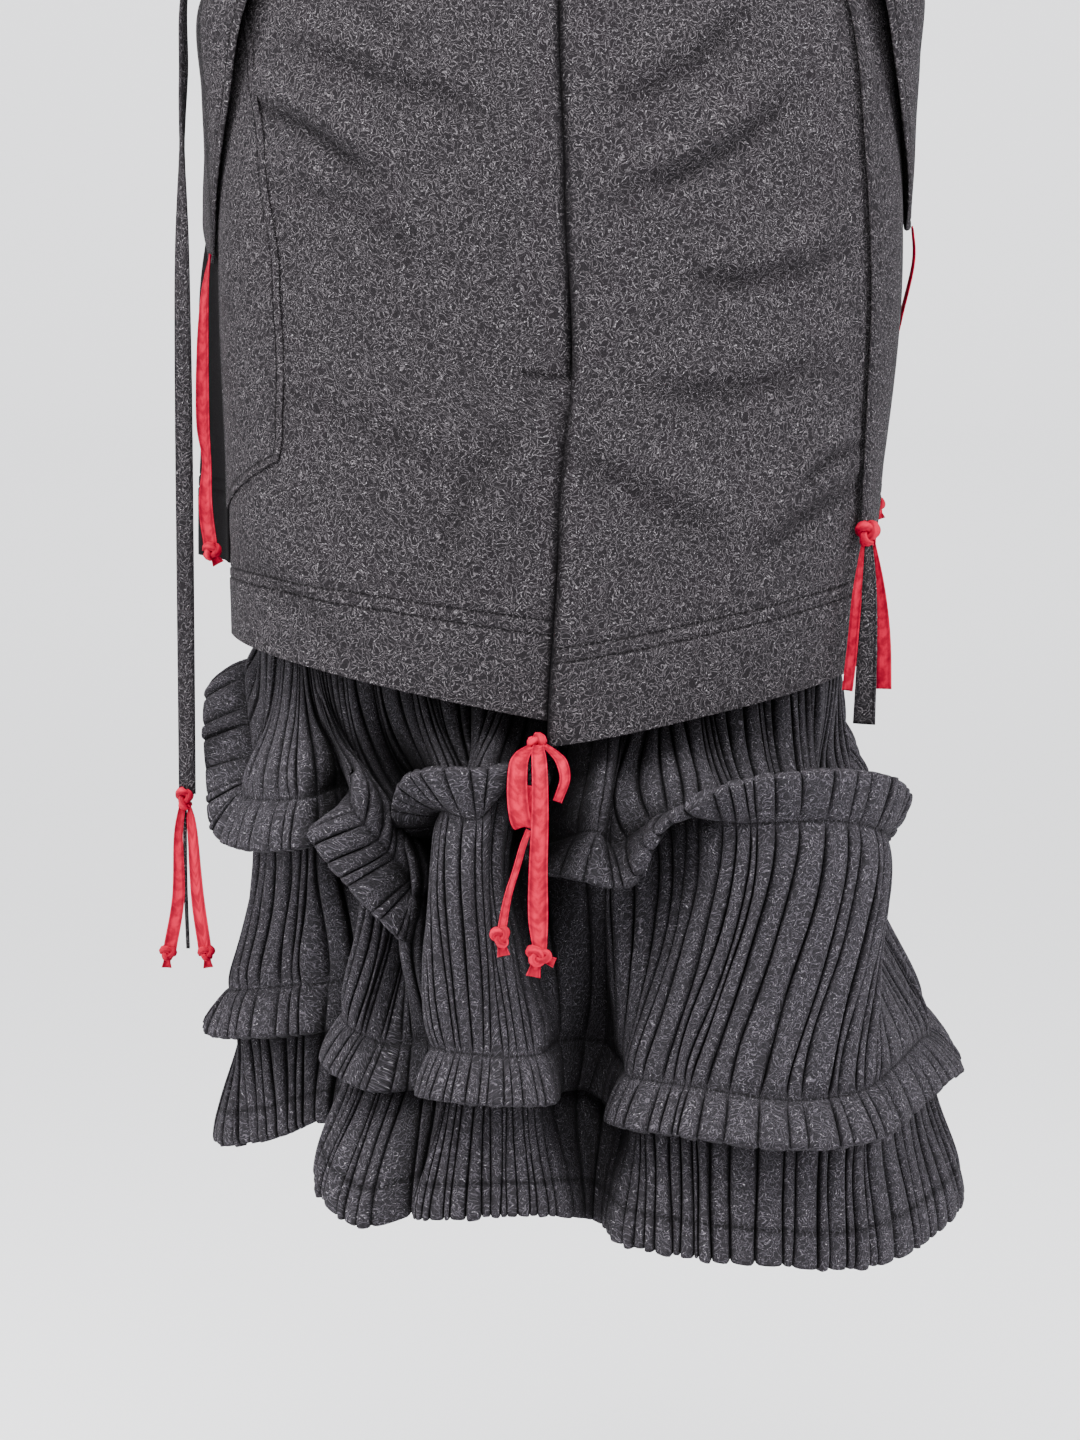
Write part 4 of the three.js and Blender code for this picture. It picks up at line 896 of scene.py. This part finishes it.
# a pointed flap that hangs at the hip; front and back are degrees from the side seam
def flap(name, seam, turn, drop, node):
    share = crowded(70, 0.7)
    belly = 1 - 0.35 * np.abs(share * 2 - 1)
    angle = seam + turn * mix(flapTop["front"], -flapTop["back"], share)
    rows = [bodyPoint(angle, flapTop["z"], flapTop["clear"])]
    for row in flapTable:
        angle = seam + turn * mix(row["front"], -row["back"], share)
        rows.append(bodyPoint(angle, row["z"] + drop, 1.2 + row["off"] * belly))
    rows = np.array(rows)
    last = len(rows) - 1
    at = np.concatenate([np.linspace(0, last - 0.6, 90), np.linspace(last - 0.6, last, 30)[1:]])
    points = np.stack([curveThrough(rows[:, i], at) for i in range(rows.shape[1])], 1)
    overlay(name, dict(flaps, points=points, turned=turn > 0), [node])


flap("sideFlapLeft", 180, 1, -12, "side_flap_left")
flap("sideFlapRight", 360, -1, 6, "side_flap_right")
print("pocket and flaps made")

# each row of a strip: where it runs, how wide it is there and the angle across which it lies
stripColumns = ["x", "y", "z", "width", "faces"]


# a flat tape or a soft round cord swept along its table, with its stitches near both edges
def strip(name, piece, material):
    rows = np.array([[row[key] for key in stripColumns] for row in piece["rows"]], float)
    count = piece["steps"]
    path = curveThrough(rows, np.linspace(0, len(rows) - 1, count))
    p, width, faces = path[:, :3], path[:, 3], path[:, 4]
    run = unit(np.gradient(p, axis=0))
    faces = faces + piece["sway"] * np.sin(np.linspace(0, 7, count) + piece["seed"])
    across = direction(faces, 0 * faces)
    across = unit(across - run * (across * run).sum(1, keepdims=True))
    through = unit(np.cross(run, across))
    if piece["round"]:
        turn = np.linspace(0, 2 * np.pi, 17)[:-1]
        outline = [(np.sign(np.cos(a)) * abs(np.cos(a)) ** 0.7 / 2, np.sin(a) * 0.5) for a in turn]
    else:
        side = np.array([-0.5, -0.47, -0.38, -0.2, 0, 0.2, 0.38, 0.47, 0.5])
        front = [(s, 0.5 if abs(s) < 0.45 else 0.28) for s in side]
        outline = front + [(s, -t) for s, t in front[::-1]]
    rings = []
    for s, t in outline:
        bend = piece["cup"] * (4 * s * s - 0.4)
        rings.append(p + across * (s * width)[:, None] + through * (t * piece["thick"] + bend))
    rings = np.array(rings).transpose(1, 0, 2)
    stitchedAt = np.array([np.exp(-((abs(s) - 0.36) / 0.06) ** 2) for s, t in outline])
    seam = np.tile(stitchedAt * piece["stitched"], (count, 1))
    start, end = (ring.mean(1, keepdims=True) + 0 * ring for ring in (rings[:1], rings[-1:]))
    rings = np.concatenate([start, rings, end])
    seam = np.concatenate([seam[:1] * 0, seam, seam[:1] * 0])
    masks = {"seam": seam, "groove": 0 * seam}
    made = gridMesh(name, rings, closed=True, material=material, masks=masks, flip=True)
    return made, p / 1000, (piece["wide"] or float(np.median(width))) / 1000


plain = {"round": False, "cup": 0.0, "sway": 0, "seed": 0, "steps": 60, "stitched": 1, "wide": None}


def hang(name, piece, node, material):
    made, line, width = strip(name, dict(plain, **piece), material)
    place(made, [node])


# an overhand knot of full, creased tape, with its cut ends where it has them
def knot(name, piece):
    wide, deep, high = piece["size"]
    centre = np.array(piece["at"], float)
    tapeRound = 0.23 * min(wide, high)
    turn = np.linspace(0, 2 * np.pi, 73)[:-1]
    path = np.stack([(np.sin(turn) + 2 * np.sin(2 * turn)) * (wide / 2 - tapeRound) / 2.7,
                     -np.sin(3 * turn) * (deep / 2 - tapeRound * 0.8),
                     (np.cos(turn) - 2 * np.cos(2 * turn)) * (high / 2 - tapeRound) / 2.7], -1)
    run = unit(np.roll(path, -1, 0) - np.roll(path, 1, 0))
    out = unit(path * [1, 0.3, 1] + 1e-3)
    out = unit(out - run * (out * run).sum(1, keepdims=True))
    side = np.cross(run, out)
    spin = math.radians(piece["tilt"])
    c, s = math.cos(spin), math.sin(spin)
    turned = np.array([[c, 0, s], [0, 1, 0], [-s, 0, c]])
    rows = []
    for a in np.linspace(0, 2 * np.pi, 17)[:-1]:
        crease = 1 - 0.13 * np.cos(4 * a + 3 * np.sin(turn * 2)) ** 2
        rows.append(path + out * (math.cos(a) * tapeRound * 0.8 * crease)[:, None]
                    + side * (math.sin(a) * tapeRound * 1.25 * crease)[:, None])
    rows = np.array(rows + rows[:1]) @ turned.T + centre
    seam = np.zeros(rows.shape[:2])
    seam[[4, 12]] = 0.6
    masks = {"seam": seam, "groove": 0 * seam}
    parts = [gridMesh(name + "Turns", rows, closed=True, material=tape, masks=masks)]
    for k, (dx, dz, broad, long) in enumerate(piece["ends"]):
        lead = unit(np.array([dx, 0.0, dz]))
        tip = centre + lead * (high * 0.35 + long)
        route = [[*(centre + lead * high * 0.2), broad * 0.7, 0], [*mix(centre, tip, 0.6), broad * 0.85, 4],
                 [*tip, broad * 1.15, 14]]
        cutEnd = dict(plain, thick=0.9, cup=0.7, steps=14, rows=table(stripColumns, route))
        parts.append(strip(name + "End" + str(k), cutEnd, tape)[0])
    whole = joinMeshes(name, parts)
    place(whole, [piece["node"]])
    return whole


strapLeft = {"thick": 3.2, "round": True, "steps": 120, "stitched": 0.5, "rows": table(stripColumns, [
    [-141.8, -12, -22, 10, 270], [-146, -12, -38, 10, 270], [-178, -14, -60, 10, 270],
    [-204, -16, -92, 10, 262],
    [-208, -18, -150, 10, 250], [-209.5, -18, -240, 10, 320], [-209.5, -17, -330, 10, 350],
    [-209.5, -15, -420, 10, 350],
    [-209.5, -14, -545, 10, 345]])}
hang("strapLeft", strapLeft, "strap_left", overCloth)

strapRight = {"thick": 3.0, "round": True, "steps": 100, "stitched": 0.5, "lift": 1.8, "rows": []}
strapRoute = table(["angle", "z", "off", "width"], [               # it lies on the right front
    [326, -24, 2.6, 12], [326, -42, 3, 12], [326, -80, 3, 12], [328, -120, 3, 12],
    [330, -180, 3, 12], [332, -260, 3, 12], [334, -330, 3, 12], [336, -389, 4, 11]])
for row in strapRoute:
    lift = strapRight["lift"] + row["off"]
    point, ahead, behind = (bodyPoint(row["angle"] + turn, row["z"], lift) for turn in (0, 1, -1))
    faces = math.degrees(math.atan2(ahead[1] - behind[1], ahead[0] - behind[0]))
    strapRight["rows"] += table(stripColumns, [[point[0], point[1], row["z"], row["width"], faces]])
hang("strapRight", strapRight, "strap_right", overCloth)

tail = {"thick": 2.0, "round": True, "rows": table(stripColumns, [
    [164.3, -64, -396, 4, 340], [164.5, -73.5, -420, 8, 345], [163.5, -76, -455, 11, 345],
    [162, -77.5, -496, 12.5, 345]])}
hang("strapRightTail", tail, "strap_right_tail", overCloth)
cord = {"thick": 1.8, "round": True, "rows": table(stripColumns, [
    [-211, -12, -551, 2.2, 0], [-211, -12, -594, 2.2, 0], [-210, -11, -633, 2.2, 0]])}
hang("strapLeftCord", cord, "strap_left_cord", overCloth)

tapeThick = 0.9
tapes = table(["name", "node", "cup", "sway", "seed", "steps", "rows"], [
    ["strapLeftTapeOuter", "strap_left_ribbon_outer", 0.6, 6, 0, 60, [
        [-212, -14.5, -550, 3.4, 0], [-214.5, -16, -566, 5, 10], [-215, -16, -604, 7, 10],
        [-220, -16, -633, 7.5, 5]]],
    ["strapLeftTapeInner", "strap_left_ribbon_inner", 0.6, 6, 2, 60, [
        [-209.5, -14.5, -550, 3.4, 0], [-206.5, -16, -568, 6, 350], [-204, -16, -604, 7.5, 345],
        [-200.2, -16, -633, 7.5, 350]]],
    ["strapRightTapeFront", "strap_right_ribbon_front", 0.5, 8, 1, 60, [
        [162.5, -64, -396, 2.8, 335], [158, -72, -428, 6, 330], [155.5, -74, -456, 6.5, 330],
        [153, -75, -478, 6, 330]]],
    ["strapRightTapeSide", "strap_right_ribbon_side", 0.6, 8, 3, 60, [
        [166, -64, -396, 3.4, 345], [170, -67, -421, 6.5, 345], [172.5, -68, -448, 8, 345],
        [173, -69, -478, 9, 345]]],
    ["flapTapeLeft", "flap_ribbon_left", 0.7, 14, 0, 90, [
        [-195.1, -0.6, -247.4, 5, 270], [-197.5, -8, -268, 6, 300], [-199, -12, -300, 7, 330],
        [-199, -13, -340, 8, 340], [-197, -13, -360, 7, 330], [-198, -13, -385, 8, 350],
        [-195.3, -13, -408, 7.5, 340]]],
    ["flapTapeRight", "flap_ribbon_right", 0.7, 10, 0, 90, [
        [190.9, 10, -233, 5, 90], [192, 14, -250, 6, 85], [186, 32, -285, 7, 100], [178, 45, -330, 8, 105],
        [174.5, 50, -391, 8, 105]]],
    ["frontTapeLoop", "front_ribbon_loop", 0.5, 0, 0, 60, [
        [-17, -139.5, -497.5, 5, 20], [-23, -156, -499.8, 8, 12], [-25.5, -166, -504.4, 10, 10],
        [-26, -172, -520, 11, 5], [-24, -173, -533, 11, 0], [-22, -171, -536, 10.5, 0],
        [-20, -167.5, -530, 10, 0],
        [-18, -166.5, -515, 8, 0]]],
    ["frontTapeBow", "front_ribbon_bow", 0.5, 0, 0, 60, [
        [-12.5, -140, -497, 3.5, 20], [-6.5, -152, -500, 6, 25], [-3, -159, -503, 7, 30],
        [-1, -161, -512, 7, 40],
        [-5, -163, -524, 5.5, 30]]],
    ["frontTapeTail", "front_ribbon_tail", 0.6, 0, 0, 90, [
        [-14.6, -141, -496.8, 5.5, 0], [-15, -157, -498, 7, 0], [-14.5, -168, -501, 8, 0],
        [-14, -174, -512, 8.5, 0],
        [-14, -175, -530, 9, 0], [-15, -174, -560, 10, 5], [-15, -171, -586, 10.5, 5],
        [-14, -170, -604, 7, 5]]],
    ["frontTapeThinTail", "front_ribbon_thin_tail", 0.4, 0, 0, 60, [
        [-20, -172.4, -537.8, 3, 20], [-23, -177, -545, 3.5, 20], [-26.5, -178, -557, 4, 30],
        [-31, -177, -572, 4.5, 30], [-34.6, -176, -592, 5, 20]]],
])
tapeWidths = {"frontTapeBow": 6}                  # where its own middle row isn't its width
for piece in tapes:
    piece["rows"] = table(stripColumns, piece["rows"])
    piece.update(thick=tapeThick, wide=tapeWidths.get(piece["name"]))
    hang(piece["name"], piece, piece["node"], tape)

knots = table(["name", "node", "on", "at", "size", "tilt", "ends"], [
    ["strapLeftKnot", "strap_left_knot", "strapLeft", (-211, -14, -547), (11, 9, 15), 0, []],
    ["strapLeftEndOuter", "strap_left_ribbon_outer_end", "strapLeftTapeOuter",
     (-221, -16, -634.5), (11, 6, 10), 10, [[-0.1, -1, 5, 5]]],
    ["strapLeftEndInner", "strap_left_ribbon_inner_end", "strapLeftTapeInner",
     (-199.5, -16, -634.5), (11, 6, 10), -10, [[0.1, -1, 5, 5]]],
    ["strapRightKnot", "strap_right_knot", "strapRight", (164, -63, -393), (15, 10, 17), 0, []],
    ["flapKnotLeft", "flap_ribbon_left_knot", "flapTapeLeft",
     (-195, -13, -409.5), (12, 9, 12), 20, [[0.5, -1, 6, 4]]],
    ["flapKnotRight", "flap_ribbon_right_knot", "flapTapeRight",
     (174.5, 50, -392), (11, 9, 12), 0, [[0.3, -1, 5, 4]]],
    ["frontKnot", "front_knot", None, (-15.4, -138.2, -496.5), (12, 11, 12), -30, []],
    ["frontTailEnd", "front_ribbon_tail_end", "frontTapeTail",
     (-15, -170, -606), (16, 6, 13), 20, [[-0.25, -1, 7, 7], [0.9, -0.4, 5, 5]]],
    ["frontThinTailEnd", "front_ribbon_thin_tail_end", "frontTapeThinTail",
     (-35, -176, -594), (12, 6, 14), -15, [[0.15, -1, 6, 6]]],
])
ends = {row["on"]: knot(row["name"], row) for row in knots}
print("straps, ribbons and knots made")


# pale matt studio paper, its grain only just there
def studioPaper(name, code):
    material, tree, surface = newMaterial(name, 1.0, 0.0)
    coords = addNode(tree, "TexCoord", out="Object")
    grain = addNode(tree, "TexNoise", {"Vector": coords, "Scale": 3.0, "Detail": 3.0})
    grain = addNode(tree, "Math", {0: grain, 1: 0.04}, operation="MULTIPLY")
    paper = addNode(tree, "Mix", {0: grain, 6: colourOf(code), 7: colourOf("#ffffff")}, 2, **colours)
    tree.links.new(paper, surface["Base Color"])
    return material


backdrop = {"floor": -1140, "radius": 7000, "bend": 1500, "top": 3000, "steps": 96, "colour": "#f3f3f5"}
run = [(10, backdrop["floor"]), (backdrop["radius"] / 2, backdrop["floor"])]
for a in np.linspace(0, np.pi / 2, 16):                             # a round studio, pale on every side
    run.append((backdrop["radius"] + backdrop["bend"] * math.sin(a),
                backdrop["floor"] + backdrop["bend"] * (1 - math.cos(a))))
run.append((backdrop["radius"] + backdrop["bend"], backdrop["top"]))
around = np.radians(np.linspace(0, 360, backdrop["steps"], endpoint=False))
points = np.array([np.stack([r * np.cos(around), r * np.sin(around), z + 0 * around], -1) for r, z in run])
paper = studioPaper("studioPaperPale", backdrop["colour"])
floor = gridMesh("studioFloor", points, closed=True, material=paper)

lights = table(["name", "at", "towards", "size", "power", "tint"], [
    ["softLeft", (-2800, -900, 600), (0, 0, -420), 2200, 196, "#ffffff"],
    ["softRight", (2800, -900, 600), (0, 0, -420), 2200, 208, "#fdfdff"],
    ["softTop", (-300, -1700, 2300), (0, 0, -420), 1800, 300, "#ffffff"],
    ["wallWash", (0, 4600, 3800), (0, 8400, 200), 3000, 345, "#ffffff"]])    # lights only the backdrop
for row in lights:
    lamp = bpy.data.lights.new(row["name"], "AREA")
    lamp.shape = "SQUARE"
    lamp.size = row["size"] / 1000
    lamp.energy = row["power"]
    lamp.color = colourOf(row["tint"])[:3]
    holder = bpy.data.objects.new(row["name"], lamp)
    holder.location = np.array(row["at"]) / 1000
    aim = Vector(np.subtract(row["towards"], row["at"]))
    holder.rotation_euler = aim.to_track_quat("-Z", "Y").to_euler()
    bpy.context.scene.collection.objects.link(holder)

air = {"colour": "#eceef0", "strength": 0.5}                          # soft light from everywhere
world = bpy.data.worlds.new("studioWorld")
world.use_nodes = True
sky = world.node_tree.nodes["Background"].inputs
sky[0].default_value = colourOf(air["colour"])
sky[1].default_value = air["strength"]
bpy.context.scene.world = world

view = {"aim": (-14, 0, -506), "down": 9, "away": 3500, "lens": 157.5, "sensor": 36, "clip": 60}
lens = bpy.data.cameras.new("frontCamera")
lens.lens = view["lens"]
lens.sensor_width = view["sensor"]
lens.clip_end = view["clip"]
camera = bpy.data.objects.new("frontCamera", lens)
pitch = math.radians(view["down"])
camera.location = (view["aim"][0] / 1000, -view["away"] * math.cos(pitch) / 1000,
                   (view["aim"][2] + view["away"] * math.sin(pitch)) / 1000)
camera.rotation_euler = (math.pi / 2 - pitch, 0, 0)
bpy.context.scene.collection.objects.link(camera)
bpy.context.scene.camera = camera
print("stage, light and camera made")
